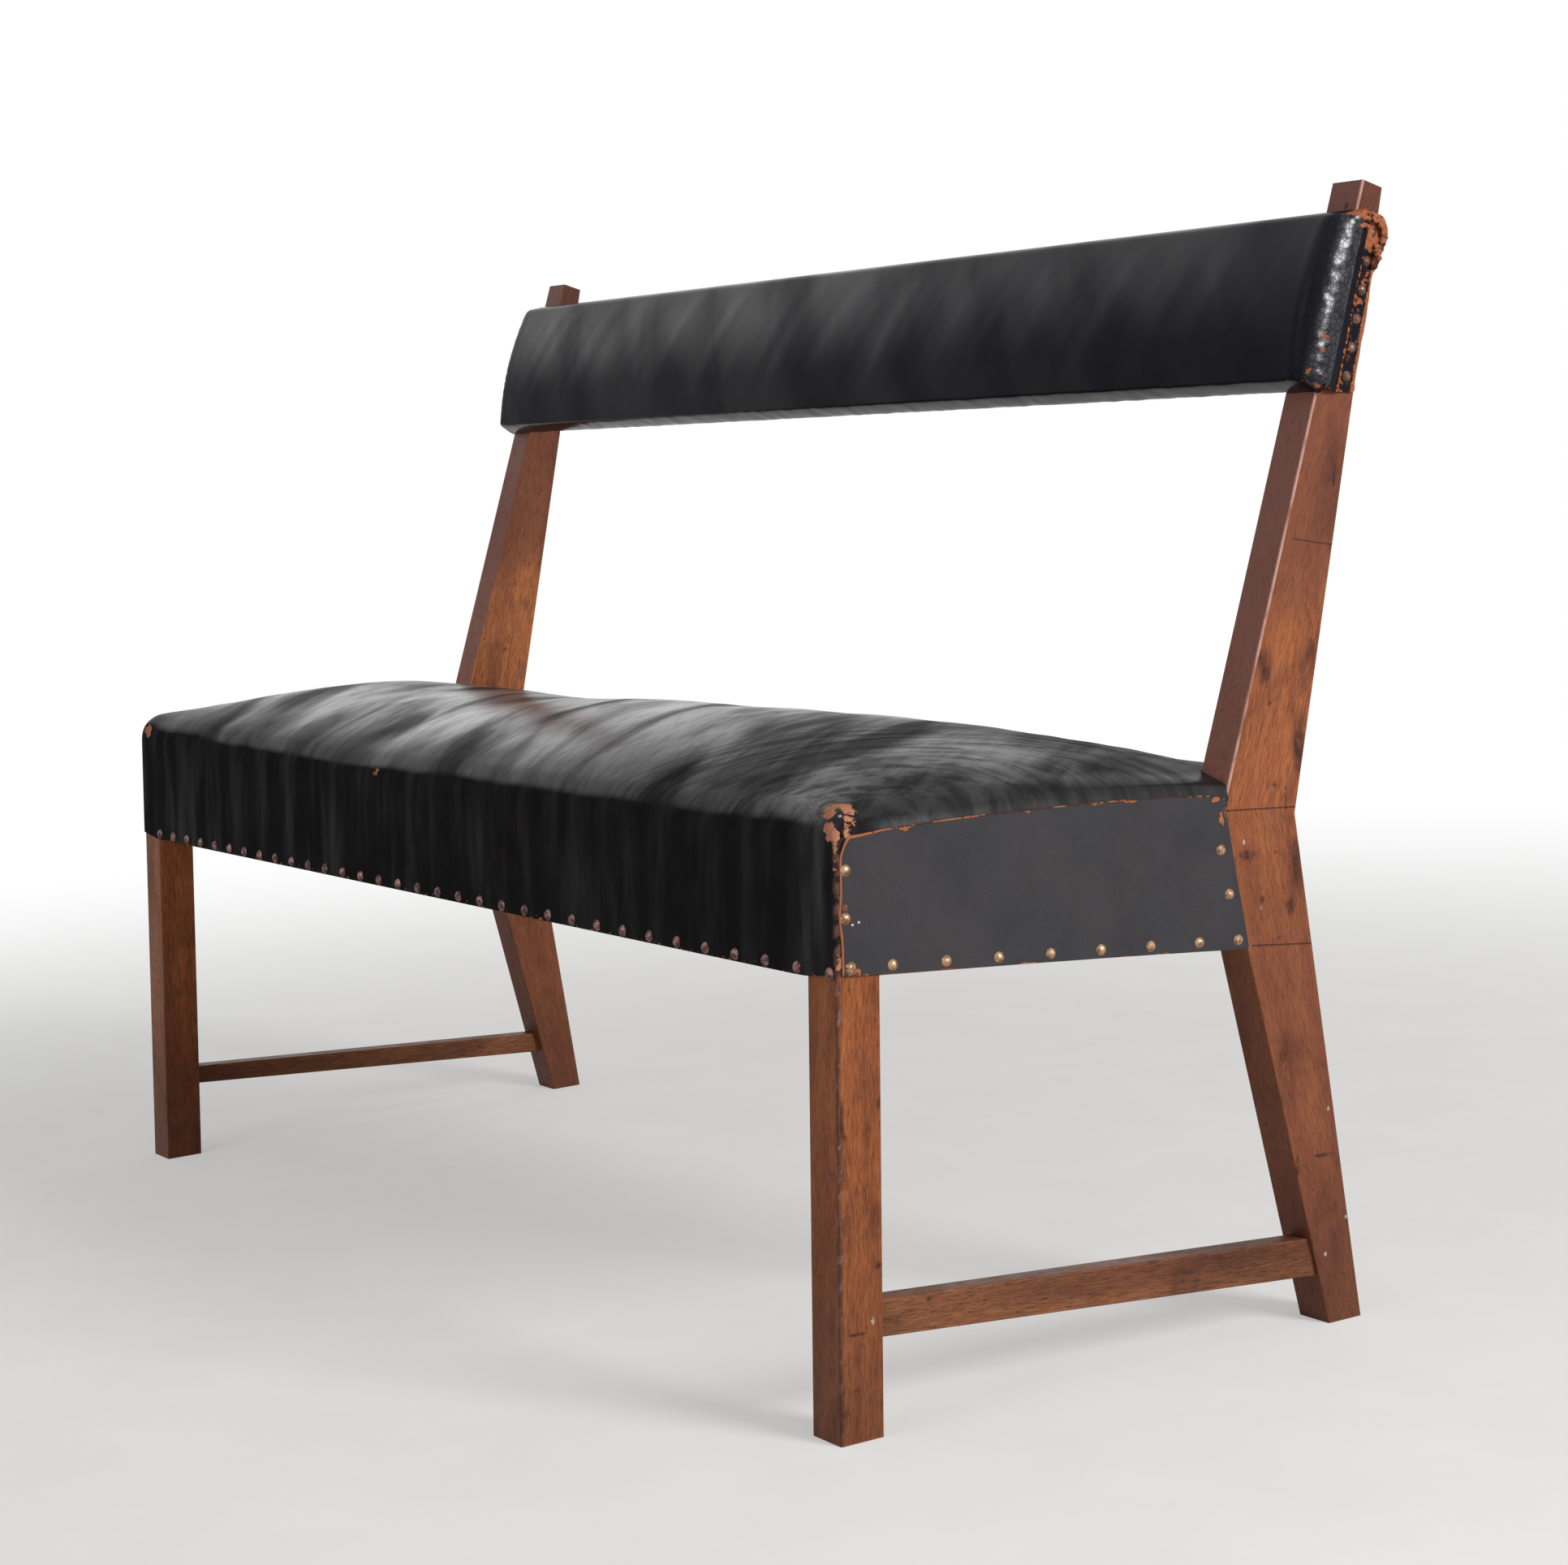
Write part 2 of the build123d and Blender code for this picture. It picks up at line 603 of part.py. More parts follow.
panel_outline = [
    (FOLD, RAIL_FRONT_BOTTOM - 1), (post_front(RAIL_REAR_BOTTOM - 1), RAIL_REAR_BOTTOM - 1),
    (POST_RAIL_FRONT[0] + 4, RAIL_REAR_BOTTOM - 1), (POST_RAIL_FRONT[0] + 4, 480), (0, 480),
    (0, RAIL_TOP), (FOLD, RAIL_TOP),
]
panel_blank = side_slab(panel_outline, END, END + LEATHER) - post_room(0.3) - side_holes
side_panel = panel_blank & end_room
nodes["side_panel_right"] = side_panel
nodes["side_panel_left"] = on_left(side_panel)

side_nails = nail_row(side_nail_points, (1, 0, 0))
nodes["front_nails"] = nail_row(front_nail_points, (0, -1, 0))
nodes["side_nails_right"] = side_nails
nodes["side_nails_left"] = [on_left(n) for n in side_nails]
nodes["rear_nails"] = nail_row(rear_nail_points, (0, 1, 0))

# Back rail
board = pad_box(-BOARD_END, BOARD_END, 0, BOARD, 3.5, 136)
pad_space = pad_form(0)
all_board_screws = board_screws + [on_left(s) for s in board_screws]
nodes["back_board"] = board - Compound(all_board_screws) - back_tack_holes
nodes["back_board_screws"] = all_board_screws
nodes["back_stuffing"] = pad_space - board
end_nails = nail_row(end_nail_points, (1, 0, 0))
nodes["back_cover"] = make_back_cover(pad_space) - end_holes - on_left(end_holes) - back_tack_holes
nodes["back_nails_right"] = end_nails
nodes["back_nails_left"] = [on_left(n) for n in end_nails]
nodes["back_tacks"] = nail_row(
    back_tack_points, PAD_BACKWARD, TACK_HEAD, 1.2, TACK_SHANK, TACK_LENGTH,
)

# The bench leans back onto its feet, with the origin on the floor under its middle.
stance = Pos(0, -MID_DEPTH, 0) * Rot(-LEAN, 0, 0)

os.makedirs("parts", exist_ok=True)
for name, shape in nodes.items():
    solids = shape if isinstance(shape, list) else shape.solids()
    placed = [stance * s for s in solids]
    whole = placed[0] if len(placed) == 1 else Compound(placed)
    export_step(whole, f"parts/{name}.step")
    box = whole.bounding_box()
    print(name, len(placed), "solids from", box.min, "to", box.max)
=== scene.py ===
# %% [markdown]
# # A padded leather bench
# A long bench: a plain oiled wood frame, a crowned seat under one sheet of black leather, matt
# leather panels on the seat's sides, and a padded back rail whose leather is nailed round both
# ends. The wood, the nails and the screws come from the CAD model as they are and only get a
# finish here. The leather, the webbing and the hessian are soft, so they are made anew, in the
# space that their CAD solids hold.

# %% Load the frame
import math

import bpy
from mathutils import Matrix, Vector, noise


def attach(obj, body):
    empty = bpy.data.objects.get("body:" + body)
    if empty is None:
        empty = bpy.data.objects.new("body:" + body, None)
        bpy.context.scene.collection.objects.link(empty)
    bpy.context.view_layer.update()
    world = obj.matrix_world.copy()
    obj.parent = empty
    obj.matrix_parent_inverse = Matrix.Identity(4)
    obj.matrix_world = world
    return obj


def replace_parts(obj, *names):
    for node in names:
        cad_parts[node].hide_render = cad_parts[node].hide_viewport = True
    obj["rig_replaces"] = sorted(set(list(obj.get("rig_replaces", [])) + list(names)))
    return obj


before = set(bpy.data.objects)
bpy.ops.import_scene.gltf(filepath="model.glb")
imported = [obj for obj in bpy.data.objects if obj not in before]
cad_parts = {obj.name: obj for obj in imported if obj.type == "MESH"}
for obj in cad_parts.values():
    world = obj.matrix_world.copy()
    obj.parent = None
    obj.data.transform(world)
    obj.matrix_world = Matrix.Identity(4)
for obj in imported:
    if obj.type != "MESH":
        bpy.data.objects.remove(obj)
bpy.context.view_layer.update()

# %% [markdown]
# ## Two ways to say where a point is
# The bench leans back a little on its four feet. It is easier to place leather on a frame that
# stands square, so points are given as a joiner would measure them, in millimetres: along the
# bench, back from the front legs, and up the legs. `stand` turns such a point into the scene's
# metres. The back rail leans on its posts, so points on it are given as their reach forward
# from the posts and their height up them.

# %% Places on the bench
LEAN = math.radians(3.05)
MID_DEPTH = 286.5
END = 660.0                  # outer faces of the legs, from the middle
LEATHER = 2.0                # outer face of a sheet of leather, from what it lies on
PLAY = 0.2                   # clear space under it
POST_INNER = 625.0
KNEE = (361.5, 447.3)        # depth and height of the bend in the posts' front faces
POST_TOP = (504.1, 933.8)
PAD_LEAN = math.atan2(POST_TOP[0] - KNEE[0], POST_TOP[1] - KNEE[1])
PAD_FOOT = (456.09, 770.0)


def stand(x, y, z):
    """A point measured square to the legs, in millimetres, as a point of the scene."""
    depth = y * math.cos(LEAN) + z * math.sin(LEAN) - MID_DEPTH
    height = -y * math.sin(LEAN) + z * math.cos(LEAN)
    return Vector((x, depth, height)) / 1000


def measure(point):
    """A point of the scene, measured square to the legs, in millimetres."""
    x, y, z = point * 1000
    y += MID_DEPTH
    return (
        x,
        y * math.cos(LEAN) - z * math.sin(LEAN),
        y * math.sin(LEAN) + z * math.cos(LEAN),
    )


def on_pad(x, forward, up):
    """A point of the back rail, from its reach forward of the posts and its height up them."""
    y = PAD_FOOT[0] - forward * math.cos(PAD_LEAN) + up * math.sin(PAD_LEAN)
    z = PAD_FOOT[1] + forward * math.sin(PAD_LEAN) + up * math.cos(PAD_LEAN)
    return stand(x, y, z)


def measure_pad(point):
    x, y, z = measure(point)
    y, z = y - PAD_FOOT[0], z - PAD_FOOT[1]
    forward = -y * math.cos(PAD_LEAN) + z * math.sin(PAD_LEAN)
    up = y * math.sin(PAD_LEAN) + z * math.cos(PAD_LEAN)
    return x, forward, up


print("the pad leans", round(math.degrees(PAD_LEAN + LEAN), 1), "degrees")

# %% [markdown]
# ## The camera
# The picture is taken from the right, a little above the seat, with a long lens. Setting the
# camera up first means that every later step can be looked at from the right place.

# %% Camera
camera_data = bpy.data.cameras.new("camera")
camera = bpy.data.objects.new("camera", camera_data)
bpy.context.scene.collection.objects.link(camera)
camera.location = (2.6153, -1.5560, 0.7615)
camera.rotation_euler = tuple(math.radians(a) for a in (83.511, 3.523, 59.332))
camera_data.sensor_width = 36
camera_data.lens = 75.38
camera_data.shift_x = 0.0865
bpy.context.scene.camera = camera
print("camera stands", round(camera.location.length, 2), "m from the bench")

# %% [markdown]
# ## Small helpers for materials
# A material is a web of nodes. Wiring it by hand takes three lines a node, so `put` adds a node,
# sets its plain values and links the sockets it is given, in one line. The rest are the few sums
# that every finish here needs.

# %% Nodes and sums
def srgb(red, green, blue):
    """A colour as seen on a screen, 0 to 255, in the linear values that shaders work in."""
    def linear(c):
        c = c / 255
        return c / 12.92 if c <= 0.04045 else ((c + 0.055) / 1.055) ** 2.4
    return (linear(red), linear(green), linear(blue), 1.0)


def put(tree, kind, sockets=None, **settings):
    """Adds a node to a tree; a socket given as a value is linked, a number is set."""
    node = tree.nodes.new("ShaderNode" + kind)
    for name, value in settings.items():
        setattr(node, name, value)
    for name, value in (sockets or {}).items():
        if isinstance(value, bpy.types.NodeSocket):
            tree.links.new(value, node.inputs[name])
        else:
            node.inputs[name].default_value = value
    return node


def sums(tree, operation, *values):
    return put(tree, "Math", dict(enumerate(values)), operation=operation).outputs[0]


def mixed(tree, share, first, second):
    """A colour between two colours."""
    return put(tree, "Mix", {0: share, 6: first, 7: second}, data_type="RGBA").outputs[2]


def span(tree, value, low, high, to_low=0.0, to_high=1.0):
    """Eases a value from one range into another, and stops at its ends."""
    sockets = {0: value, 1: low, 2: high, 3: to_low, 4: to_high}
    return put(tree, "MapRange", sockets, interpolation_type="SMOOTHSTEP").outputs[0]


def mottle(tree, place, scale, detail=3.0, roughness=0.5, distortion=0.0):
    sockets = {
        "Vector": place, "Scale": scale, "Detail": detail,
        "Roughness": roughness, "Distortion": distortion,
    }
    return put(tree, "TexNoise", sockets).outputs[0]


def stretched(tree, place, scale, turn=(0, 0, 0)):
    """Coordinates turned and stretched, so that a pattern runs long in one direction."""
    turn = tuple(math.radians(a) for a in turn)
    turned = put(tree, "Mapping", {"Vector": place, "Rotation": turn}).outputs[0]
    return put(tree, "Mapping", {"Vector": turned, "Scale": scale}).outputs[0]


def apart(tree, vector):
    """The three parts of a place or a direction."""
    return put(tree, "SeparateXYZ", {0: vector}).outputs


def surface_facing(tree):
    """Which way the surface faces: to the right, to the back and up, each from -1 to 1."""
    return apart(tree, put(tree, "NewGeometry").outputs["Normal"])


def object_place(tree):
    return put(tree, "TexCoord").outputs["Object"]


print("one mid grey in linear values:", [round(part, 3) for part in srgb(128, 128, 128)])

# %% Groups, materials and their wiring
def shader_group(name, takes, gives):
    """An empty node group with named sockets, and its two ends."""
    tree = bpy.data.node_groups.new(name, "ShaderNodeTree")
    for label, value in takes.items():
        if isinstance(value, float):
            kind = "Float"
        else:
            kind = "Color" if len(value) == 4 else "Vector"
        socket = tree.interface.new_socket(label, in_out="INPUT", socket_type="NodeSocket" + kind)
        socket.default_value = value
    for label, kind in gives.items():
        tree.interface.new_socket(label, in_out="OUTPUT", socket_type="NodeSocket" + kind)
    taken = tree.nodes.new("NodeGroupInput").outputs
    given = tree.nodes.new("NodeGroupOutput").inputs
    return tree, taken, given


def place_group(tree, group, **sockets):
    """Puts a finished group into a tree; its inputs are named with _ for a space."""
    node = put(tree, "Group", node_tree=group)
    for name, value in sockets.items():
        name = name.replace("_", " ")
        if isinstance(value, bpy.types.NodeSocket):
            tree.links.new(value, node.inputs[name])
        else:
            node.inputs[name].default_value = value
    return node.outputs


def new_finish(name, **constants):
    """A material with its shader's plain values set; returns it, its tree and its shader."""
    material = bpy.data.materials.new(name)
    material.use_nodes = True
    tree = material.node_tree
    shader = tree.nodes["Principled BSDF"]
    for label, value in constants.items():
        shader.inputs[label.replace("_", " ")].default_value = value
    return material, tree, shader


def wire(tree, shader, height=None, lift=0.001, **sockets):
    """Links a finish's colours and masks to its shader, and its height through a bump."""
    for name, value in sockets.items():
        tree.links.new(value, shader.inputs[name.replace("_", " ")])
    if height is not None:
        bump = put(tree, "Bump", {"Strength": 1.0, "Distance": lift, "Height": height})
        tree.links.new(bump.outputs[0], shader.inputs["Normal"])


print("helpers for groups and materials ready")

# %% [markdown]
# ## Shared effects
# Several finishes need the same things: where the surface is on the bench, the arrises, lightened
# by rubbing and by a painted highlight, where leather has worn through in ragged patches, and a
# spot at a given place.
# Each is a node group with named sockets, built once.

# %% Effect: place on the bench, square to the legs
bench_place, taken, given = shader_group(
    "bench place", {"Object": (0, 0, 0)}, {"Place": "Vector"},
)
moved = put(bench_place, "VectorMath", {0: taken["Object"], 1: (0, MID_DEPTH / 1000, 0)})
squared = put(bench_place, "Mapping", {"Vector": moved.outputs[0], "Rotation": (LEAN, 0, 0)})
bench_place.links.new(squared.outputs[0], given["Place"])


def find_place(tree):
    """Where the surface is on the bench, square to the legs, in metres."""
    return place_group(tree, bench_place, Object=object_place(tree))["Place"]


print("the floor turns by", round(math.degrees(LEAN), 2), "degrees seen from the legs")

# %% Effect: rubbed arrises and a painted highlight
arris_wear_and_highlight, taken, given = shader_group(
    "arris wear and painted highlight", {"Place": (0, 0, 0), "Amount": 1.0}, {"Mask": "Float"},
)
# Edges are found where the bevelled normal turns from the plain one; the lightening there is rub
# wear and a painted highlight.
rounded = put(arris_wear_and_highlight, "Bevel", {"Radius": 0.0035}, samples=6).outputs[0]
plain = put(arris_wear_and_highlight, "NewGeometry").outputs["Normal"]
agree = put(arris_wear_and_highlight, "VectorMath", {0: rounded, 1: plain}, operation="DOT_PRODUCT")
edge = span(arris_wear_and_highlight, agree.outputs["Value"], 0.985, 0.80)
patchy = span(arris_wear_and_highlight, mottle(arris_wear_and_highlight, taken["Place"], 60, 4), 0.30, 0.62)
rubbed = sums(arris_wear_and_highlight, "MULTIPLY", edge, patchy)
rubbed = sums(arris_wear_and_highlight, "MULTIPLY", rubbed, taken["Amount"])
arris_wear_and_highlight.links.new(rubbed, given["Mask"])
print("rubbed arrises:", len(arris_wear_and_highlight.nodes), "nodes")

# %% Effect: ragged worn-through patches
worn_through, taken, given = shader_group(
    "worn through", {"Place": (0, 0, 0), "Wear": 0.0, "Fineness": 230.0}, {"Mask": "Float"},
)
rag = mottle(worn_through, taken["Place"], taken["Fineness"], 6, 0.74)
rag = sums(worn_through, "MULTIPLY_ADD", rag, 1.9, -0.95)
rag = sums(worn_through, "ADD", rag, taken["Wear"])
worn_through.links.new(span(worn_through, rag, 0.45, 0.53), given["Mask"])
print("worn patches:", len(worn_through.nodes), "nodes")

# %% Effect: a soft spot at a place
soft_spot, taken, given = shader_group(
    "soft spot", {"Place": (0, 0, 0), "Centre": (0, 0, 0), "Reach": (1, 1, 1)}, {"Mask": "Float"},
)
away = put(soft_spot, "VectorMath", {0: taken["Place"], 1: taken["Centre"]}, operation="SUBTRACT")
away = put(soft_spot, "VectorMath", {0: away.outputs[0], 1: taken["Reach"]}, operation="DIVIDE")
away = put(soft_spot, "VectorMath", {0: away.outputs[0]}, operation="LENGTH").outputs["Value"]
soft_spot.links.new(span(soft_spot, away, 1.0, 0.0), given["Mask"])


def spots(tree, place, marks):
    """The strongest of several soft spots, each given as its centre and reach in millimetres."""
    strongest = None
    for centre, reach in marks:
        mask = place_group(
            tree, soft_spot, Place=place,
            Centre=[c / 1000 for c in centre], Reach=[r / 1000 for r in reach],
        )["Mask"]
        strongest = mask if strongest is None else sums(tree, "MAXIMUM", strongest, mask)
    return strongest


print("effects so far:", [group.name for group in bpy.data.node_groups])

# %% [markdown]
# ## Oiled wood
# The legs, posts and stretchers are a brown hardwood, oiled and worn. Three things make wood
# look like wood: streaks that run with the grain, fine dark pores that are much longer than they
# are wide, and stains and dents that ignore the grain. The grain follows each piece, so the
# group takes coordinates whose third direction is already along the wood. A post bends at its
# knee, and its coordinates are slid sideways so that the grain bends with it.

# %% Effect: oiled wood
oiled_wood, taken, given = shader_group(
    "oiled wood",
    {
        "Along": (0, 0, 0), "Place": (0, 0, 0),
        "Light": srgb(200, 122, 72), "Middle": srgb(150, 82, 45), "Dark": srgb(76, 36, 22),
        "Stain": 1.0,
    },
    {"Color": "Color", "Roughness": "Float", "Height": "Float"},
)
tree = oiled_wood
broad = mottle(tree, stretched(tree, taken["Along"], (1, 1, 0.12)), 34, 4, 0.5, 0.4)
fine = mottle(tree, stretched(tree, taken["Along"], (1, 1, 0.08)), 780, 3, 0.6)
pore = mottle(tree, stretched(tree, taken["Along"], (1, 1, 0.07)), 1250, 2, 0.5)
pore = span(tree, pore, 0.58, 0.68)
cloud = mottle(tree, stretched(tree, taken["Along"], (1, 1, 0.45)), 17, 5, 0.62, 0.6)
colour = mixed(tree, span(tree, broad, 0.32, 0.70), taken["Middle"], taken["Light"])
colour = mixed(tree, span(tree, fine, 0.38, 0.70, 0, 0.52), colour, taken["Dark"])
colour = mixed(tree, sums(tree, "MULTIPLY", pore, 0.46), colour, taken["Dark"])
vein = mottle(tree, stretched(tree, taken["Along"], (1, 1, 0.08)), 150, 4, 0.55, 0.5)
vein = sums(tree, "MULTIPLY", span(tree, vein, 0.50, 0.72, 0, 0.22), taken["Stain"])
colour = mixed(tree, vein, colour, taken["Dark"])
smudge = mottle(tree, stretched(tree, taken["Along"], (1, 1, 0.6)), 42, 5, 0.65, 0.4)
smudge = sums(tree, "MULTIPLY", span(tree, smudge, 0.50, 0.72, 0, 0.42), taken["Stain"])
colour = mixed(tree, smudge, colour, srgb(90, 52, 47))
stain = sums(tree, "MULTIPLY", span(tree, cloud, 0.47, 0.74, 0, 0.62), taken["Stain"])
colour = mixed(tree, stain, colour, taken["Dark"])
dent = put(tree, "TexVoronoi", {"Vector": taken["Place"], "Scale": 26.0}).outputs["Distance"]
dent = sums(tree, "MULTIPLY", span(tree, dent, 0.075, 0.03), taken["Stain"])
colour = mixed(tree, sums(tree, "MULTIPLY", dent, 0.6), colour, srgb(38, 20, 14))
tree.links.new(colour, given["Color"])
roughness = span(tree, cloud, 0.3, 0.7, 0.36, 0.52)
roughness = sums(tree, "MULTIPLY_ADD", pore, 0.2, roughness)
tree.links.new(roughness, given["Roughness"])
height = sums(tree, "MULTIPLY_ADD", fine, -0.35, 1.0)
height = sums(tree, "SUBTRACT", height, sums(tree, "MULTIPLY", pore, 0.8))
height = sums(tree, "SUBTRACT", height, sums(tree, "MULTIPLY", dent, 1.6))
tree.links.new(height, given["Height"])
print("oiled wood:", len(oiled_wood.nodes), "nodes")

# %% Which way the grain runs
POST_SLOPE_BELOW = -0.216    # how far back a post runs for its height, below and above the knee
POST_SLOPE_ABOVE = 0.238


def grain_upright(tree, place, slope_below=0.0, slope_above=0.0):
    """Coordinates with the grain up a leg, or up a post that bends at its knee."""
    parts = apart(tree, place)
    above = sums(tree, "SUBTRACT", parts[2], KNEE[1] / 1000)
    low = sums(tree, "MULTIPLY", sums(tree, "MINIMUM", above, 0.0), slope_below)
    high = sums(tree, "MULTIPLY", sums(tree, "MAXIMUM", above, 0.0), slope_above)
    depth = sums(tree, "SUBTRACT", parts[1], sums(tree, "ADD", low, high))
    return put(tree, "CombineXYZ", {0: parts[0], 1: depth, 2: parts[2]}).outputs[0]


def grain_across(tree, place, first, second, along):
    """Coordinates with the grain along the given axis of the bench."""
    parts = apart(tree, place)
    order = {0: parts[first], 1: parts[second], 2: parts[along]}
    return put(tree, "CombineXYZ", order).outputs[0]


def grain_of_post(tree, place):
    return grain_upright(tree, place, POST_SLOPE_BELOW, POST_SLOPE_ABOVE)


def grain_of_stretcher(tree, place):
    return grain_across(tree, place, 0, 2, 1)


def grain_of_rail(tree, place):
    return grain_across(tree, place, 1, 2, 0)


BEND = math.atan(POST_SLOPE_ABOVE) - math.atan(POST_SLOPE_BELOW)
print("the grain of a post bends by", round(math.degrees(BEND)), "degrees")

# %% [markdown]
# The right post and the right front leg also carry marks that belong to one place: three lines
# scribed across the post's outer face, a few pale chips and dark dents on both, and dark smears
# down the post. They could be carved, but they are too shallow to show in the outline, so they
# are laid over the wood at measured places. A chip, dent or smear is a soft spot, given as its
# centre and its reach in millimetres along the bench, back and up.

# %% Marks in the wood
CHIPS = [
    ((660, 382.8, 419.5), (5, 3.2, 4.2)), ((660, 399.7, 365.9), (5, 2.0, 5.0)),
    ((660, 29.2, 90.2), (5, 1.9, 6)), ((660, 29.2, 90.2), (5, 6, 1.9)),
    ((660, 467, 82.2), (5, 3, 4)), ((660, 470, 200), (4, 2.5, 4)), ((660, 489, 110), (4, 2.5, 4)),
]
DENTS = [
    ((660, 386, 409), (5, 15, 6)), ((660, 401, 373), (5, 4, 5)), ((660, 425, 452), (5, 3, 16)),
    ((660, 391, 300), (5, 5, 3)), ((660, 436, 402), (5, 6, 26)), ((660, 430, 366), (5, 8, 12)),
    ((660, 401, 561), (5, 7, 6)), ((660, 405, 550), (5, 6, 9)), ((660, 439, 488), (5, 9, 28)),
    ((660, 474, 700), (5, 3, 9)), ((660, 3, 238), (5, 2.8, 28)), ((660, 5, 228), (5, 6, 4)),
    ((660, 4, 24), (5, 6, 3.5)), ((660, 36, 250), (5, 3, 9)), ((660, 33, 131), (5, 6, 4)),
    ((660, 14, 40), (5, 5, 3)), ((660, 15, 82), (5, 12, 2)),
    ((647.3, 498.2, 913.8), (3, 5, 5)), ((660, 464, 163), (4, 15, 2.4)),
    ((660, 438, 157), (4, 3, 12)),
]
SMEARS = [  # soft dark clouds, mostly down the rear edge
    ((660, 452, 580), (5, 18, 62)), ((660, 474, 700), (5, 18, 60)), ((660, 438, 500), (5, 13, 44)),
    ((660, 403, 556), (5, 13, 24)), ((660, 438, 395), (5, 22, 34)), ((660, 392, 406), (5, 20, 16)),
    ((660, 425, 240), (5, 18, 60)), ((660, 470, 90), (5, 26, 70)), ((660, 470, 820), (5, 40, 60)),
]
SCRIBED = [  # depth and height of both ends, and how dark the line is
    ((365, 444.9), (434, 443.9), 0.75), ((392, 337.3), (453, 334.2), 0.75),
    ((433, 653.9), (472, 648.7), 0.55),
]
print(len(CHIPS), "chips,", len(DENTS), "dents,", len(SMEARS), "smears,", len(SCRIBED), "lines")

# %% [markdown]
# Wood that is handled changes colour by place, and the posts also carry painted light. A post
# darkens towards its top, and below the seat painted shade from the seat darkens it down to its
# foot. Its front faces above the seat have a pinkish red painted sheen, and its front arris is
# pale, from rubbing and from a painted highlight. The arris of a front leg has caught dirt and grey
# scuffs instead. Both follow the distance from the arris, made uneven by a mottle.

# %% Tones of the posts and legs
def from_outer_face(tree, parts):
    """How far in a point lies from the outer faces of the legs, in metres."""
    return sums(tree, "SUBTRACT", END / 1000, sums(tree, "ABSOLUTE", parts[0]))


def post_tones(tree, place, parts, colour):
    """Tones a post: a dark top, painted shade below the seat, a pinkish red painted sheen on its
    front above the seat, and a pale arris from rubbing and a painted highlight.
    """
    height = sums(tree, "MULTIPLY_ADD", mottle(tree, place, 8, 4, 0.6), 0.2, parts[2])
    # Darker towards the top, and painted shade below the seat, where the seat shades the post.
    dark_top_and_painted_seat_shade = sums(
        tree, "MAXIMUM",
        span(tree, height, 0.64, 0.76, 0, 0.72), span(tree, height, 0.60, 0.40, 0, 0.62),
    )
    colour = mixed(tree, dark_top_and_painted_seat_shade, colour, srgb(100, 58, 44))
    cloudy = mottle(tree, stretched(tree, place, (1, 1, 0.5)), 34, 5, 0.65, 0.5)
    cloudy = sums(tree, "MULTIPLY", span(tree, cloudy, 0.36, 0.60), spots(tree, place, SMEARS))
    colour = mixed(tree, sums(tree, "MULTIPLY", cloudy, 0.85), colour, srgb(72, 40, 34))
    colour = mixed(tree, span(tree, parts[2], 0.875, 0.915, 0, 0.6), colour, srgb(66, 36, 34))
    # A pinkish red painted sheen on the post's front faces above the knee.
    painted_front_sheen = sums(
        tree, "MULTIPLY", span(tree, surface_facing(tree)[1], -0.5, -0.85),
        span(tree, parts[2], 0.44, 0.46, 0, 0.72),
    )
    colour = mixed(tree, painted_front_sheen, colour, srgb(146, 98, 88))
    # The front outer arris above the knee is painted pale: rub wear and a painted highlight.
    slope = (POST_TOP[0] - KNEE[0]) / (POST_TOP[1] - KNEE[1])
    face = sums(tree, "MULTIPLY_ADD", parts[2], slope, (KNEE[0] - slope * KNEE[1]) / 1000)
    behind = sums(tree, "ABSOLUTE", sums(tree, "SUBTRACT", parts[1], face))
    away = sums(tree, "MAXIMUM", behind, from_outer_face(tree, parts))
    pale = span(tree, away, 0.0025, 0.0009)
    pale = sums(tree, "MULTIPLY", pale, span(tree, parts[2], 0.446, 0.456))
    uneven = mottle(tree, stretched(tree, place, (1, 1, 0.3)), 90, 3, 0.6)
    pale = sums(tree, "MULTIPLY", pale, span(tree, uneven, 0.28, 0.55, 0.15, 0.80))
    return mixed(tree, pale, colour, srgb(206, 162, 150))


def leg_tones(tree, place, parts, colour):
    """Lays dirt and grey scuffs along the outer front arris of a leg."""
    away = sums(
        tree, "MAXIMUM", sums(tree, "ABSOLUTE", parts[1]), from_outer_face(tree, parts),
    )
    uneven = mottle(tree, stretched(tree, place, (1, 1, 0.22)), 85, 4, 0.65)
    dirt = sums(
        tree, "MULTIPLY", span(tree, away, 0.0042, 0.0010),
        span(tree, uneven, 0.34, 0.56, 0.15, 0.8),
    )
    colour = mixed(tree, dirt, colour, srgb(66, 42, 38))
    patchy = mottle(tree, stretched(tree, place, (1, 1, 0.3), (40, 0, 0)), 130, 4, 0.7)
    scuffs = sums(
        tree, "MULTIPLY", span(tree, away, 0.0050, 0.0020),
        span(tree, patchy, 0.52, 0.64, 0, 0.55),
    )
    return mixed(tree, scuffs, colour, srgb(140, 114, 108))


print("an arris counts as rubbed up to 2.5 mm from it on a post, and 5 mm on a leg")

# %% Laying the marks over the wood
def dents_and_chips(tree, place, colour):
    """Lays dark dents and pale chips over a colour, each with a ragged edge."""
    rag = mottle(tree, stretched(tree, place, (1, 1, 0.6)), 150, 4, 0.6)
    rag = span(tree, rag, 0.30, 0.60)
    dents = span(tree, spots(tree, place, DENTS), 0.0, 0.6)
    dents = sums(tree, "MULTIPLY", dents, rag)
    colour = mixed(tree, sums(tree, "MULTIPLY", dents, 0.8), colour, srgb(50, 32, 30))
    chips = sums(tree, "MULTIPLY", spots(tree, place, CHIPS), rag)
    chips = span(tree, chips, 0.30, 0.70, 0, 0.85)
    return mixed(tree, chips, colour, srgb(178, 168, 168))


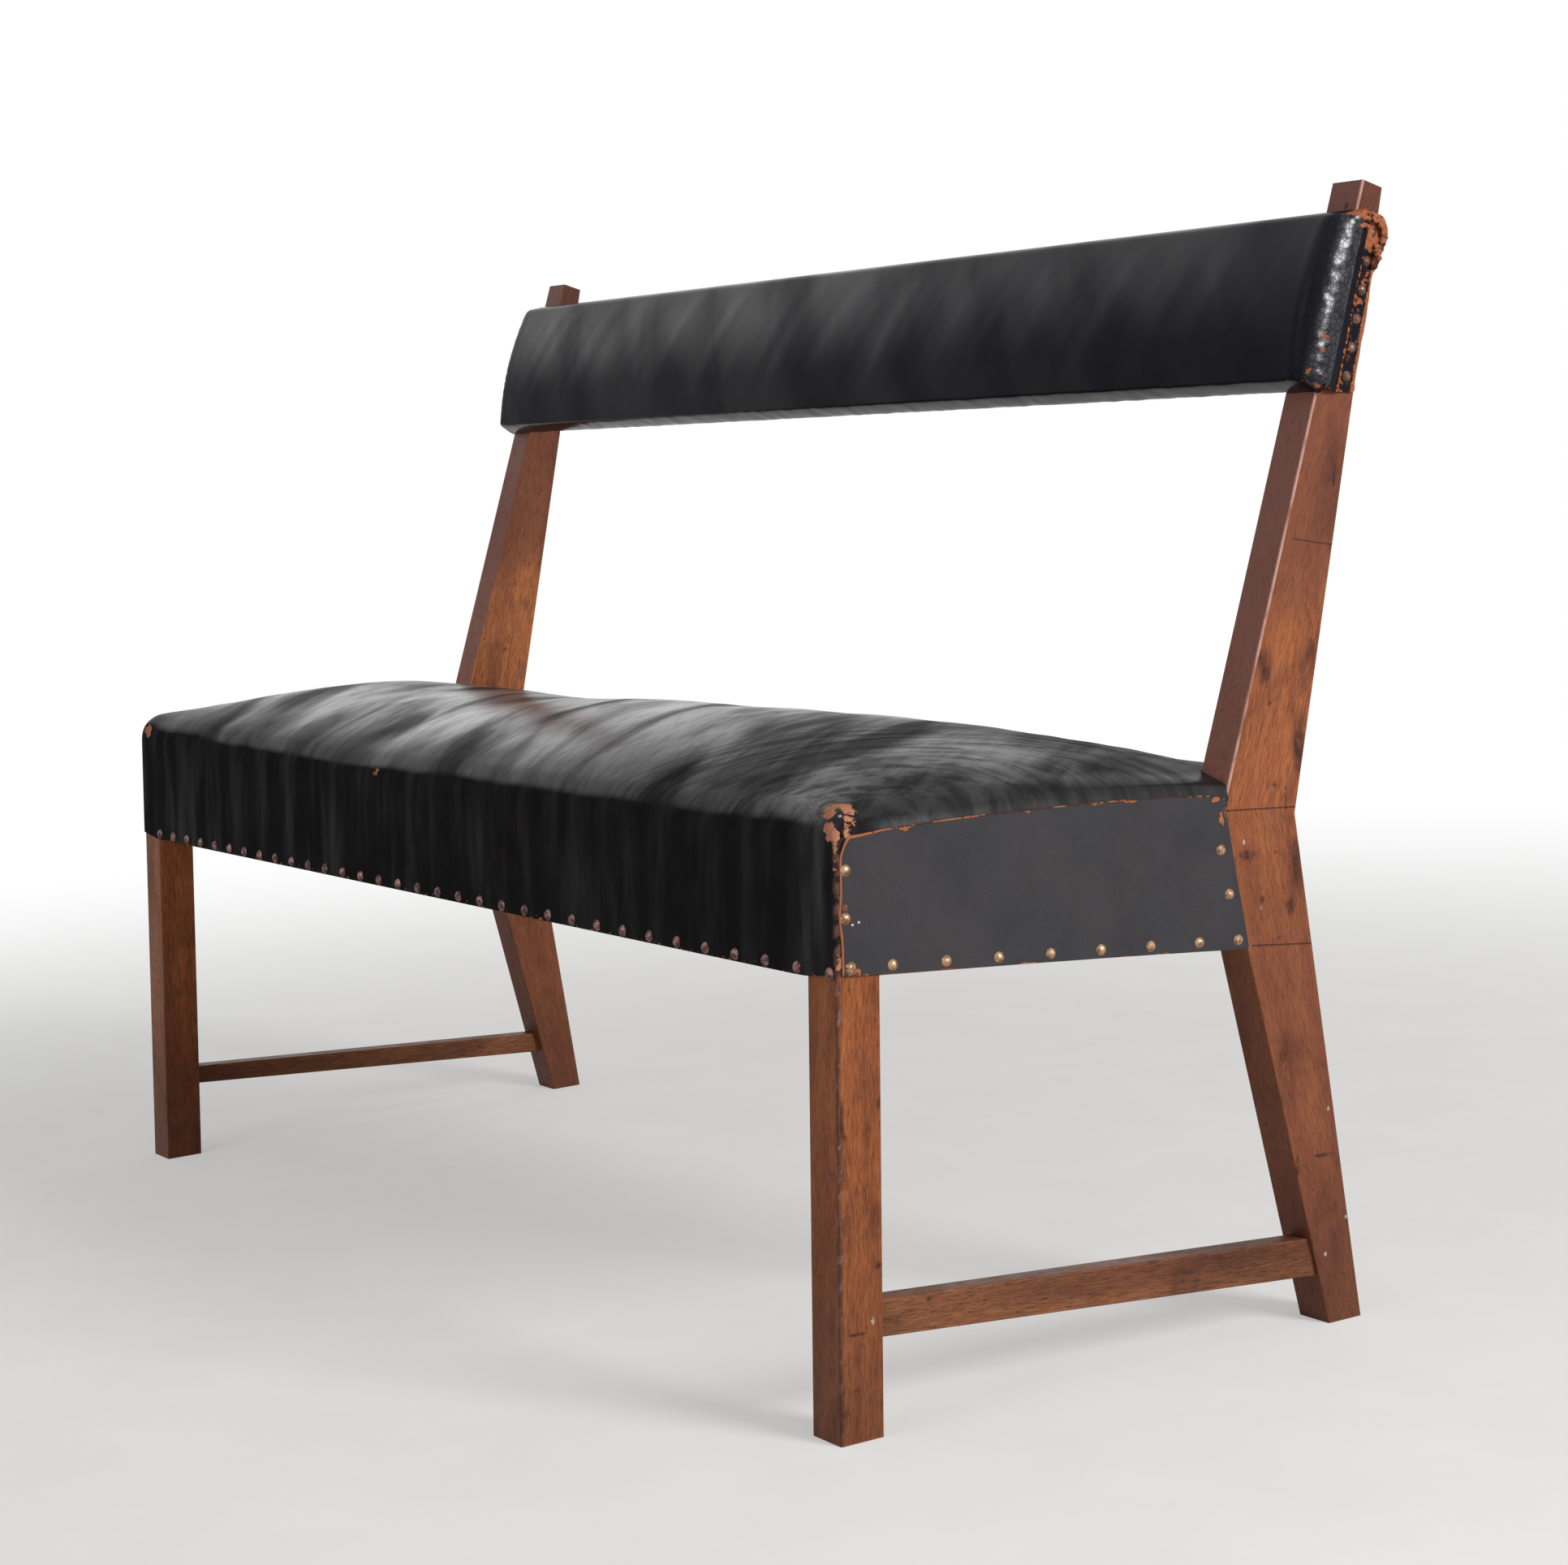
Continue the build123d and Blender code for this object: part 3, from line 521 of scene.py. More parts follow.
def scribed_lines(tree, parts, colour, height):
    """Cuts the scribed lines into a colour and a height, on the right outer face only."""
    outside = span(tree, parts[0], (END - 2.5) / 1000, (END - 1.5) / 1000)
    for (y0, z0), (y1, z1), darkness in SCRIBED:
        fall = (z1 - z0) / (y1 - y0)
        line = sums(tree, "MULTIPLY_ADD", parts[1], fall, (z0 - fall * y0) / 1000)
        line = sums(tree, "ABSOLUTE", sums(tree, "SUBTRACT", parts[2], line))
        line = sums(tree, "MULTIPLY", span(tree, line, 0.0008, 0.0003), outside)
        reach = span(tree, parts[1], (y0 - 2) / 1000, y0 / 1000, 0, darkness)
        line = sums(tree, "MULTIPLY", line, reach)
        colour = mixed(tree, line, colour, srgb(52, 28, 20))
        height = sums(tree, "SUBTRACT", height, sums(tree, "MULTIPLY", line, 2.0))
    return colour, height


print("helpers for marks ready")

# %% Finish: any piece of wood
def wood_finish(name, grain, light, middle, dark, stain=1.0, marks=True, is_post=False):
    material, tree, shader = new_finish(name, Specular_IOR_Level=0.12)
    place = find_place(tree)
    parts = apart(tree, place)
    wood = place_group(
        tree, oiled_wood, Along=grain(tree, place), Place=place,
        Light=light, Middle=middle, Dark=dark, Stain=stain,
    )
    # Arrises are lightened here: rub wear and a painted highlight.
    arris = place_group(tree, arris_wear_and_highlight, Place=place, Amount=0.6)["Mask"]
    colour = mixed(tree, arris, wood["Color"], srgb(190, 132, 96))
    if is_post:
        colour = post_tones(tree, place, parts, colour)
    elif marks:
        colour = leg_tones(tree, place, parts, colour)
    grime = span(tree, parts[2], 0.20, 0.02, 0, 0.52 if marks else 0.0)
    colour = mixed(tree, grime, colour, srgb(76, 49, 40))
    height = wood["Height"]
    if marks:
        colour = dents_and_chips(tree, place, colour)
        colour, height = scribed_lines(tree, parts, colour, height)
    wire(tree, shader, height, 0.00035, Base_Color=colour, Roughness=wood["Roughness"])
    return material


leg_wood = wood_finish(
    "oiled leg wood", grain_upright, srgb(172, 102, 58), srgb(138, 77, 45), srgb(66, 35, 25),
)
print("a leg's finish has", len(leg_wood.node_tree.nodes), "nodes")

# %% The other wood finishes
post_wood = wood_finish(
    "oiled post wood", grain_of_post, srgb(182, 112, 68), srgb(152, 88, 54), srgb(76, 40, 31),
    is_post=True,
)
pin_wood = wood_finish(
    "oiled pin wood", grain_of_rail, srgb(150, 104, 78), srgb(128, 84, 62), srgb(66, 42, 34),
)
stretcher_wood = wood_finish(
    "oiled stretcher wood", grain_of_stretcher,
    srgb(140, 90, 60), srgb(110, 67, 46), srgb(56, 34, 27), marks=False,
)
side_frame_wood = wood_finish(
    "raw side rail wood", grain_of_stretcher,
    srgb(190, 150, 104), srgb(166, 124, 80), srgb(112, 78, 48), 0.3, marks=False,
)
frame_wood = wood_finish(
    "raw rail wood", grain_of_rail,
    srgb(190, 150, 104), srgb(166, 124, 80), srgb(112, 78, 48), 0.3, marks=False,
)
print("wood finishes ready")

# %% [markdown]
# ## Old metal
# The upholstery nails have low brass domes. Years of rubbing keep their crowns bright while dirt
# and tarnish stay round the rim, so the metal is mixed from a bright and a dark tone by patches.
# The front row is duller and pinker than the row on the side, and the row on the ends of the
# back rail is nearly rust. Screws and tacks are blued steel.

# %% Effect: worn metal
worn_metal, taken, given = shader_group(
    "worn metal",
    {"Place": (0, 0, 0), "Bright": srgb(205, 170, 120), "Dull": srgb(92, 66, 46), "Tarnish": 0.5},
    {"Color": "Color", "Roughness": "Float", "Metallic": "Float", "Height": "Float"},
)
tree = worn_metal
patch = mottle(tree, taken["Place"], 260, 4, 0.6)
patch = sums(tree, "ADD", patch, sums(tree, "MULTIPLY_ADD", taken["Tarnish"], 0.4, -0.2))
patch = span(tree, patch, 0.42, 0.66)
speck = span(tree, mottle(tree, taken["Place"], 1100, 2), 0.60, 0.72)
dull = sums(tree, "MAXIMUM", patch, sums(tree, "MULTIPLY", speck, 0.6))
tree.links.new(mixed(tree, dull, taken["Bright"], taken["Dull"]), given["Color"])
tree.links.new(span(tree, dull, 0, 1, 0.34, 0.62), given["Roughness"])
tree.links.new(span(tree, dull, 0, 1, 0.95, 0.55), given["Metallic"])
tree.links.new(sums(tree, "SUBTRACT", 1.0, sums(tree, "MULTIPLY", speck, 0.6)), given["Height"])
print("worn metal:", len(worn_metal.nodes), "nodes")

# %% Finishes: nails, screws and tacks
def metal_finish(name, bright, dull, tarnish):
    material, tree, shader = new_finish(name, Specular_IOR_Level=0.5)
    metal = place_group(
        tree, worn_metal, Place=object_place(tree), Bright=bright, Dull=dull, Tarnish=tarnish,
    )
    wire(
        tree, shader, metal["Height"], 0.0003, Base_Color=metal["Color"],
        Roughness=metal["Roughness"], Metallic=metal["Metallic"],
    )
    return material


side_brass = metal_finish("side nail brass", srgb(186, 150, 118), srgb(112, 80, 61), 0.52)
front_brass = metal_finish("front nail brass", srgb(142, 106, 102), srgb(76, 52, 50), 0.62)
end_brass = metal_finish("end nail rust", srgb(140, 104, 86), srgb(84, 56, 44), 0.75)
blued_steel = metal_finish("blued steel", srgb(120, 120, 126), srgb(52, 48, 50), 0.5)
print("metal finishes ready")

# %% [markdown]
# ## The rigid pieces
# Wood, nails, tacks and screws are rigid, and their CAD shapes are right as they are. Modelling
# them again would gain nothing, so each keeps its mesh and only takes a finish. One table from
# finish to pieces keeps the whole choice in one place.

# %% Give the CAD pieces their finishes
NODE_FINISHES = {
    leg_wood: ["front_leg_right", "front_leg_left"],
    post_wood: ["rear_post_right", "rear_post_left"],
    stretcher_wood: ["side_stretcher_right", "side_stretcher_left"],
    pin_wood: ["stretcher_pins"],
    side_frame_wood: ["seat_rail_right", "seat_rail_left", "seat_rail_middle"],
    frame_wood: ["seat_rail_front", "seat_rail_rear", "corner_blocks", "back_board"],
    side_brass: ["side_nails_right", "side_nails_left", "rear_nails"],
    front_brass: ["front_nails"],
    end_brass: ["back_nails_right", "back_nails_left"],
    blued_steel: ["back_tacks", "webbing_tacks", "corner_block_screws", "back_board_screws"],
}
for finish, names in NODE_FINISHES.items():
    for name in names:
        for material_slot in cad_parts[name].material_slots:
            material_slot.material = finish
print("finished", sum(len(names) for names in NODE_FINISHES.values()), "CAD pieces")

# %% [markdown]
# ## Leather
# The seat and the back rail are in one kind of hide: nearly black, polished by use where people
# sit and lean, and dull on the faces that nobody touches. Where it has worn through, the tan
# inside shows in ragged patches. Polish lies over the dye as a clear coat, so it is the coat's
# weight that changes over the surface. The side panels are a different, matt leather.

# %% Effect: worn black leather
black_leather, taken, given = shader_group(
    "black leather",
    {
        "Place": (0, 0, 0), "Wear": 0.0, "Polish": 0.3, "Creases": 0.3,
        "Dye": srgb(25, 24, 26), "Inside": srgb(184, 116, 80), "Rust": srgb(128, 66, 45),
    },
    {"Color": "Color", "Roughness": "Float", "Coat": "Float", "Height": "Float"},
)
tree = black_leather
worn = place_group(tree, worn_through, Place=taken["Place"], Wear=taken["Wear"])["Mask"]
tone = mottle(tree, taken["Place"], 22, 4, 0.6)
dye = mixed(tree, span(tree, tone, 0.35, 0.7, 0, 0.35), taken["Dye"], srgb(40, 38, 39))
flesh = mixed(tree, mottle(tree, taken["Place"], 240, 4, 0.7), taken["Rust"], taken["Inside"])
rim = span(tree, sums(tree, "ABSOLUTE", sums(tree, "SUBTRACT", worn, 0.5)), 0.5, 0.2)
flesh = mixed(tree, sums(tree, "MULTIPLY", rim, 0.6), flesh, taken["Rust"])
tree.links.new(mixed(tree, worn, dye, flesh), given["Color"])
tree.links.new(span(tree, worn, 0, 1, 0.52, 0.85), given["Roughness"])
whole = sums(tree, "SUBTRACT", 1.0, worn)
tree.links.new(sums(tree, "MULTIPLY", whole, taken["Polish"]), given["Coat"])
pebble = put(tree, "TexVoronoi", {"Vector": taken["Place"], "Scale": 620.0}).outputs["Distance"]
crackle = put(
    tree, "TexVoronoi", {"Vector": taken["Place"], "Scale": 120.0}, feature="DISTANCE_TO_EDGE",
).outputs["Distance"]
crackle = sums(tree, "MULTIPLY", span(tree, crackle, 0.0, 0.09), taken["Creases"])
height = sums(tree, "MULTIPLY_ADD", pebble, 0.12, crackle)
height = sums(tree, "ADD", height, sums(tree, "MULTIPLY", tone, 0.3))
height = sums(tree, "SUBTRACT", height, sums(tree, "MULTIPLY", worn, 0.8))
tree.links.new(height, given["Height"])


def wear_of(tree):
    """The wear painted on a piece's points."""
    return put(tree, "Attribute", attribute_name="wear").outputs["Fac"]


print("black leather:", len(black_leather.nodes), "nodes")

# %% [markdown]
# The seat's polish is the most varied thing on the bench, so it is built up in four steps: broad
# streaks slanting over the top where people slide in and out, less of them at the right and
# near the edges, fine wrinkles that sweep round the front right corner, and narrow upright
# glints on the front.

# %% Seat leather: polish on the top
SLANT = (0, 0, 52)    # the streaks' turn on the seat, in degrees
seat_leather, tree, shader = new_finish(
    "seat leather", Specular_IOR_Level=0.0, Coat_Roughness=0.30, Coat_IOR=1.5,
)
place = find_place(tree)
facing = surface_facing(tree)[2]
parts = apart(tree, place)
wander = mottle(tree, place, 9, 2)
top = span(tree, sums(tree, "MULTIPLY_ADD", wander, 0.3, facing), 0.62, 0.86)
streaks = mottle(tree, stretched(tree, place, (0.55, 2.7, 0.6), SLANT), 6.5, 3, 0.45, 0.5)
polish = span(tree, streaks, 0.31, 0.64, 0.30, 1.5)
fine = mottle(tree, stretched(tree, place, (0.5, 3.2, 1), SLANT), 40, 3, 0.6, 0.4)
polish = sums(tree, "MULTIPLY", polish, span(tree, fine, 0.3, 0.6, 0.78, 1.0))
towards_end = span(tree, parts[0], 0.10, 0.50, 1.0, 0.62)
polish = sums(tree, "MULTIPLY", polish, towards_end)
rear_right = sums(
    tree, "MULTIPLY", span(tree, parts[0], 0.25, 0.50), span(tree, parts[1], 0.16, 0.34),
)
polish = sums(tree, "MULTIPLY", polish, span(tree, rear_right, 0, 1, 1.0, 0.42))
from_edge = sums(tree, "MULTIPLY_ADD", wander, 0.09, parts[1])
from_edge = span(tree, from_edge, 0.055, 0.125, 0.42, 1.0)
from_edge = sums(tree, "MAXIMUM", from_edge, span(tree, parts[0], 0.42, 0.60))
polish = sums(tree, "MULTIPLY", polish, from_edge)
print("top of the seat:", len(tree.nodes), "nodes")

# %% Seat leather: wrinkles round the front right corner
from_side = sums(tree, "SUBTRACT", END / 1000, parts[0])
from_front = sums(tree, "MULTIPLY", parts[1], 0.8)
side_squared = sums(tree, "MULTIPLY", from_side, from_side)
front_squared = sums(tree, "MULTIPLY", from_front, from_front)
ring = sums(tree, "POWER", sums(tree, "ADD", side_squared, front_squared), 0.5)
sweep = sums(tree, "MULTIPLY", sums(tree, "ARCTAN2", from_front, from_side), 0.05)
swept = put(tree, "CombineXYZ", {0: ring, 1: sweep}).outputs[0]
swept = mottle(tree, swept, 75, 4, 0.62, 0.8)
swept = span(tree, swept, 0.34, 0.64, 0.50, 1.15)
swept = sums(tree, "MAXIMUM", swept, span(tree, ring, 0.22, 0.36))
polish = sums(tree, "MULTIPLY", polish, swept)
print("with wrinkles:", len(tree.nodes), "nodes")

# %% Seat leather: glints on the front and the lip of each end
glints = mottle(tree, stretched(tree, place, (1, 1, 0.15)), 30, 4, 0.6)
front_polish = span(tree, glints, 0.42, 0.78, 0.02, 0.15)
band = sums(
    tree, "MULTIPLY", span(tree, parts[0], 0.600, 0.622), span(tree, parts[0], 0.652, 0.640),
)
band = sums(tree, "MULTIPLY", band, span(tree, glints, 0.36, 0.66, 0.03, 0.30))
front_polish = sums(tree, "ADD", front_polish, band)
polish = put(tree, "Mix", {0: top, 2: front_polish, 3: polish}).outputs[0]
lip = sums(
    tree, "MULTIPLY", span(tree, sums(tree, "ABSOLUTE", parts[0]), 0.615, 0.645),
    span(tree, parts[1], 0.015, 0.060),
)
lip = sums(tree, "MULTIPLY", lip, sums(tree, "MULTIPLY", swept, 0.58))
polish = sums(tree, "MAXIMUM", polish, lip)
print("with glints:", len(tree.nodes), "nodes")

# %% Seat leather: creases, brown streaks, the worn corner and a painted glint
creases = mottle(tree, stretched(tree, place, (1, 4, 1), SLANT), 24, 4, 0.6, 0.8)
leather = place_group(
    tree, black_leather, Place=place, Wear=wear_of(tree), Polish=polish,
    Creases=span(tree, facing, 0.2, 0.9, 0.05, 0.35),
    Inside=srgb(208, 150, 120), Rust=srgb(152, 92, 68),
)
height = sums(tree, "ADD", leather["Height"], sums(tree, "MULTIPLY", creases, 0.6))
upright = mottle(tree, stretched(tree, place, (1, 1, 0.12)), 75, 4, 0.6)
brown = span(tree, upright, 0.56, 0.80, 0, 0.35)
brown = sums(tree, "MULTIPLY", brown, span(tree, facing, 0.5, 0.2))
colour = mixed(tree, brown, leather["Color"], srgb(48, 36, 33))
# The upright arris at each end is rubbed pinkish, and a slit parts the worn corner, with a pale
# painted glint in it.
outward = sums(tree, "ABSOLUTE", parts[0])
arris = sums(
    tree, "MULTIPLY", span(tree, outward, (END - 2.5) / 1000, (END + 0.5) / 1000),
    span(tree, parts[1], 0.0045, 0.0010),
)
arris = sums(tree, "MULTIPLY", arris, span(tree, mottle(tree, place, 130, 4, 0.65), 0.38, 0.60))
arris = sums(tree, "MULTIPLY", arris, span(tree, parts[2], 0.455, 0.440, 0, 0.42))
colour = mixed(tree, arris, colour, srgb(140, 102, 90))
SLIT = [
    ((651, 10.5, 463), (3, 4.5, 4)), ((654, 9, 460.5), (3, 4.5, 4.5)),
    ((657, 7.5, 457), (3, 4.5, 5)), ((661, 5.5, 450), (3, 3.5, 6)),
]
slit = span(tree, spots(tree, place, SLIT), 0.20, 0.50)
colour = mixed(tree, slit, colour, srgb(22, 18, 18))
# A pale blue-grey painted glint in the slit, where the coat is also full.
painted_glint = spots(tree, place, [((651.5, 10.2, 463.5), (2.5, 3.0, 3.5))])
colour = mixed(tree, span(tree, painted_glint, 0.1, 0.7, 0, 0.75), colour, srgb(176, 178, 190))
coat = sums(tree, "MAXIMUM", leather["Coat"], span(tree, painted_glint, 0.1, 0.5))
wire(
    tree, shader, height, 0.0009, Base_Color=colour,
    Roughness=leather["Roughness"], Coat_Weight=coat,
)
print("seat leather:", len(tree.nodes), "nodes")

# %% [markdown]
# The back rail is polished along its upper half, where shoulders rub it. At its ends the leather
# is drawn tight round the posts, so it is crimped there, and its arris has broken up into small
# shiny scales. `reach` is how far in front of the posts a point lies.

# %% Back rail leather: the cracked arris at its ends
pad_leather, tree, shader = new_finish(
    "back rail leather", Specular_IOR_Level=0.0, Coat_Roughness=0.22, Coat_IOR=1.5,
)
place = find_place(tree)
parts = apart(tree, place)
slanted = mottle(tree, stretched(tree, place, (2.6, 1, 0.9), (0, 30, 0)), 4.6, 4, 0.5, 0.3)
outward = sums(tree, "ABSOLUTE", parts[0])
near_end = span(tree, outward, 0.645, 0.664)
reach = sums(
    tree, "MULTIPLY_ADD", parts[1], -math.cos(PAD_LEAN),
    (PAD_FOOT[0] * math.cos(PAD_LEAN) - PAD_FOOT[1] * math.sin(PAD_LEAN)) / 1000,
)
reach = sums(tree, "MULTIPLY_ADD", parts[2], math.sin(PAD_LEAN), reach)
arris = sums(tree, "MULTIPLY", span(tree, reach, -0.008, 0.001), span(tree, reach, 0.024, 0.014))
arris = sums(tree, "MULTIPLY", arris, span(tree, outward, 0.660, 0.667))
cracks = put(
    tree, "TexVoronoi", {"Vector": place, "Scale": 210.0}, feature="DISTANCE_TO_EDGE",
).outputs["Distance"]
cracks = sums(
    tree, "MULTIPLY", span(tree, cracks, 0.0, 0.14, 0.30, 1.0),
    span(tree, mottle(tree, place, 85, 4, 0.65), 0.34, 0.50, 0.25, 1.0),
)
print("cracked arris:", len(tree.nodes), "nodes")

# %% Back rail leather: polish and crimps
facing = surface_facing(tree)[2]
upper = span(tree, facing, 0.18, 0.48, 0.20, 0.66)
polish = sums(tree, "MULTIPLY", upper, span(tree, slanted, 0.30, 0.70, 0.50, 1.0))
polish = sums(tree, "MULTIPLY", polish, span(tree, parts[0], 0.6, -0.5, 0.85, 1.5))
polish = sums(tree, "MAXIMUM", polish, span(tree, facing, -0.3, -0.7, 0, 0.75))
polish = sums(tree, "MULTIPLY", polish, span(tree, near_end, 0, 1, 1.0, 0.3))
polish = sums(tree, "MAXIMUM", polish, sums(tree, "MULTIPLY", arris, cracks))
crimp = mottle(tree, stretched(tree, place, (1, 1, 3.2)), 95, 4, 0.65, 0.6)
leather = place_group(
    tree, black_leather, Place=place, Wear=wear_of(tree), Polish=polish, Creases=0.12,
    Dye=srgb(27, 27, 34),
)
height = sums(tree, "MULTIPLY", crimp, sums(tree, "MULTIPLY_ADD", near_end, 2.4, 0.25))
height = sums(tree, "MULTIPLY_ADD", sums(tree, "MULTIPLY", cracks, near_end), 0.8, height)
height = sums(tree, "ADD", leather["Height"], height)
wire(
    tree, shader, height, 0.0007, Base_Color=leather["Color"],
    Roughness=leather["Roughness"], Coat_Weight=leather["Coat"],
)
print("back rail leather:", len(tree.nodes), "nodes")

# %% [markdown]
# The side panels' leather is dry and cloudy, with a little dust in its pores and two pale nicks
# near its front edge. It comes from the same group, with its polish at nothing. Where a hide is
# cut or torn its brown inside shows, so each sheet also gets a finish for its raw edges.

# %% Finish: matt side leather
side_leather, tree, shader = new_finish("matt side leather", Specular_IOR_Level=0.10)
place = find_place(tree)
leather = place_group(
    tree, black_leather, Place=place, Wear=wear_of(tree), Polish=0.0, Creases=0.05,
    Dye=srgb(55, 55, 59),
)
cloud = mottle(tree, place, 14, 4, 0.55)
colour = mixed(tree, span(tree, cloud, 0.35, 0.7, 0, 0.35), leather["Color"], srgb(70, 62, 62))
dust = span(tree, mottle(tree, place, 900, 2, 0.5), 0.62, 0.74, 0, 0.16)
colour = mixed(tree, dust, colour, srgb(120, 112, 108))
nicks = spots(
    tree, place, [((662, 12.8, 384.2), (4, 1.9, 1.3)), ((662, 18.2, 385.7), (4, 1.7, 1.5))],
)
colour = mixed(tree, span(tree, nicks, 0.15, 0.5), colour, srgb(206, 184, 172))
wire(
    tree, shader, leather["Height"], 0.0004, Base_Color=colour, Roughness=leather["Roughness"],
)
print("side leather:", len(tree.nodes), "nodes")

# %% Finish: raw leather edges
raw_edge, tree, shader = new_finish("raw leather edge", Specular_IOR_Level=0.15)
place = find_place(tree)
leather = place_group(
    tree, black_leather, Place=place, Wear=wear_of(tree), Creases=0.0, Polish=0.0,
    Dye=srgb(58, 36, 28),
)
wire(
    tree, shader, leather["Height"], 0.0004, Base_Color=leather["Color"],
    Roughness=leather["Roughness"],
)
print("raw edges:", len(tree.nodes), "nodes")

# %% [markdown]
# ## Helpers for sheets of leather
# A cover is a sheet, so it starts as a flat grid and each of its points is set in its place over
# the stuffing. Rows run round the section and columns run along the bench, which keeps the
# faces square and lets them be closest where the leather turns. The ends of the bench fall in
# a smooth curve through a few measured stations.

# %% Laying a sheet
def activate(piece):
    bpy.ops.object.select_all(action="DESELECT")
    piece.select_set(True)
    bpy.context.view_layer.objects.active = piece


def lay_grid(name, columns, rows, place):
    """A grid of faces with each point set by its column and row."""
    bpy.ops.object.select_all(action="DESELECT")
    bpy.ops.mesh.primitive_grid_add(
        x_subdivisions=columns - 1, y_subdivisions=rows - 1, size=1, location=(0.5, 0.5, 0),
    )
    bpy.ops.object.transform_apply(location=True, rotation=True, scale=True)
    piece = bpy.context.object
    piece.name = piece.data.name = name
    for vertex in piece.data.vertices:
        i = round(vertex.co.x * (columns - 1))
        j = round(vertex.co.y * (rows - 1))
        vertex.co = place(i, j)
    return piece


def smooth_through(stations, x):
    """A value that passes smoothly through measured (place, value) stations."""
    i = 0
    while i < len(stations) - 2 and x > stations[i + 1][0]:
        i += 1
    x0, y0 = stations[i]
    x1, y1 = stations[i + 1]

    def slope(k):
        if k in (0, len(stations) - 1):
            a, b = stations[:2] if k == 0 else stations[-2:]
            return (b[1] - a[1]) / (b[0] - a[0])
        before = (stations[k][1] - stations[k - 1][1]) / (stations[k][0] - stations[k - 1][0])
        after = (stations[k + 1][1] - stations[k][1]) / (stations[k + 1][0] - stations[k][0])
        return 0.0 if before * after <= 0 else 2 * before * after / (before + after)

    share = min(max((x - x0) / (x1 - x0), 0.0), 1.0)
    width = x1 - x0
    return (
        (2 * share**3 - 3 * share**2 + 1) * y0
        + (share**3 - 2 * share**2 + share) * width * slope(i)
        + (3 * share**2 - 2 * share**3) * y1 + (share**3 - share**2) * width * slope(i + 1)
    )


print("half way from 0 to 1:", smooth_through([(0, 0), (1, 1)], 0.5))

# %% Modifiers, merging and thickness
def add_modifier(piece, kind, **settings):
    """Adds a modifier, sets it and applies it."""
    activate(piece)
    modifier = piece.modifiers.new(kind.lower(), kind)
    for name, value in settings.items():
        setattr(modifier, name, value)
    bpy.ops.object.modifier_apply(modifier=modifier.name)


def tidy_mesh(piece, near=0.00005):
    """Merges points that lie on each other, such as the rows that meet at a fold."""
    activate(piece)
    bpy.ops.object.mode_set(mode="EDIT")
    bpy.ops.mesh.select_all(action="SELECT")
    bpy.ops.mesh.remove_doubles(threshold=near)
    bpy.ops.mesh.dissolve_degenerate(threshold=near)
    bpy.ops.mesh.select_all(action="DESELECT")
    bpy.ops.object.mode_set(mode="OBJECT")


def thicken(piece, thickness, finish, edge_finish):
    """Gives a sheet its thickness inwards, with its raw edges in their own finish."""
    piece.data.materials.append(finish)
    piece.data.materials.append(edge_finish)
    add_modifier(
        piece, "SOLIDIFY", thickness=thickness / 1000, offset=-1.0, use_even_offset=False,
        material_offset_rim=1,
    )
    activate(piece)
    bpy.ops.object.shade_smooth_by_angle(angle=math.radians(50))


print("leather is", LEATHER - PLAY, "mm thick")

# %% Moving points and painting wear
def ease(value, low, high):
    """0 below low, 1 above high, and smooth in between; low may be the larger."""
    share = min(max((value - low) / (high - low), 0.0), 1.0)
    return share * share * (3 - 2 * share)


def push_out(piece, amount):
    """Moves each point along its normal by amount(point) millimetres."""
    moves = [v.normal * amount(v.co) / 1000 for v in piece.data.vertices]
    for vertex, move in zip(piece.data.vertices, moves):
        vertex.co += move


def paint_wear(piece, wear):
    """Writes how worn the leather is at each point, from 0 to about 1."""
    layer = piece.data.attributes.new("wear", "FLOAT", "POINT")
    for vertex, value in zip(piece.data.vertices, layer.data):
        value.value = wear(vertex.co)


print("half of an ease:", ease(0.5, 0, 1))

# %% Letting a sheet settle as cloth
def settle(piece, held, pressure, most, frames=20):
    """Lets the stuffing swell a sheet as cloth, and keeps each point within most of its place."""
    group = piece.vertex_groups.new(name="held")
    group.add([v.index for v in piece.data.vertices if held(v.co)], 1.0, "ADD")
    before = [v.co.copy() for v in piece.data.vertices]
    activate(piece)
    cloth = piece.modifiers.new("settle", "CLOTH")
    cloth.settings.quality = 6
    cloth.settings.mass = 0.4
    cloth.settings.tension_stiffness = cloth.settings.compression_stiffness = 30
    cloth.settings.shear_stiffness = 15
    cloth.settings.bending_stiffness = 4
    cloth.settings.use_pressure = True
    cloth.settings.uniform_pressure_force = pressure
    cloth.settings.vertex_group_mass = group.name
    cloth.settings.effector_weights.gravity = 0
    cloth.collision_settings.use_collision = False
    cloth.point_cache.frame_start = 1
    cloth.point_cache.frame_end = frames
    for step in range(1, frames + 1):
        bpy.context.scene.frame_set(step)
    bpy.ops.object.modifier_apply(modifier=cloth.name)
    bpy.context.scene.frame_set(1)
    furthest = 0.0
    for vertex, start in zip(piece.data.vertices, before):
        move = vertex.co - start
        furthest = max(furthest, move.length)
        if move.length > most / 1000:
            vertex.co = start + move.normalized() * most / 1000
    piece.vertex_groups.clear()
    print(piece.name, "swelled by up to", round(furthest * 1000, 1), "mm")


print("cloth helper ready")

# %% [markdown]
# ## Seat leather
# One sheet covers the front, the top and the back of the seat. It rolls over the front edge,
# crowns over the stuffing, and at each end it is pulled down and tucked under the side panel.
# The section is drawn at stations along the bench, because the seat has been sat into hollows.
# Rippled folds run across the seat from the front right towards the back left.

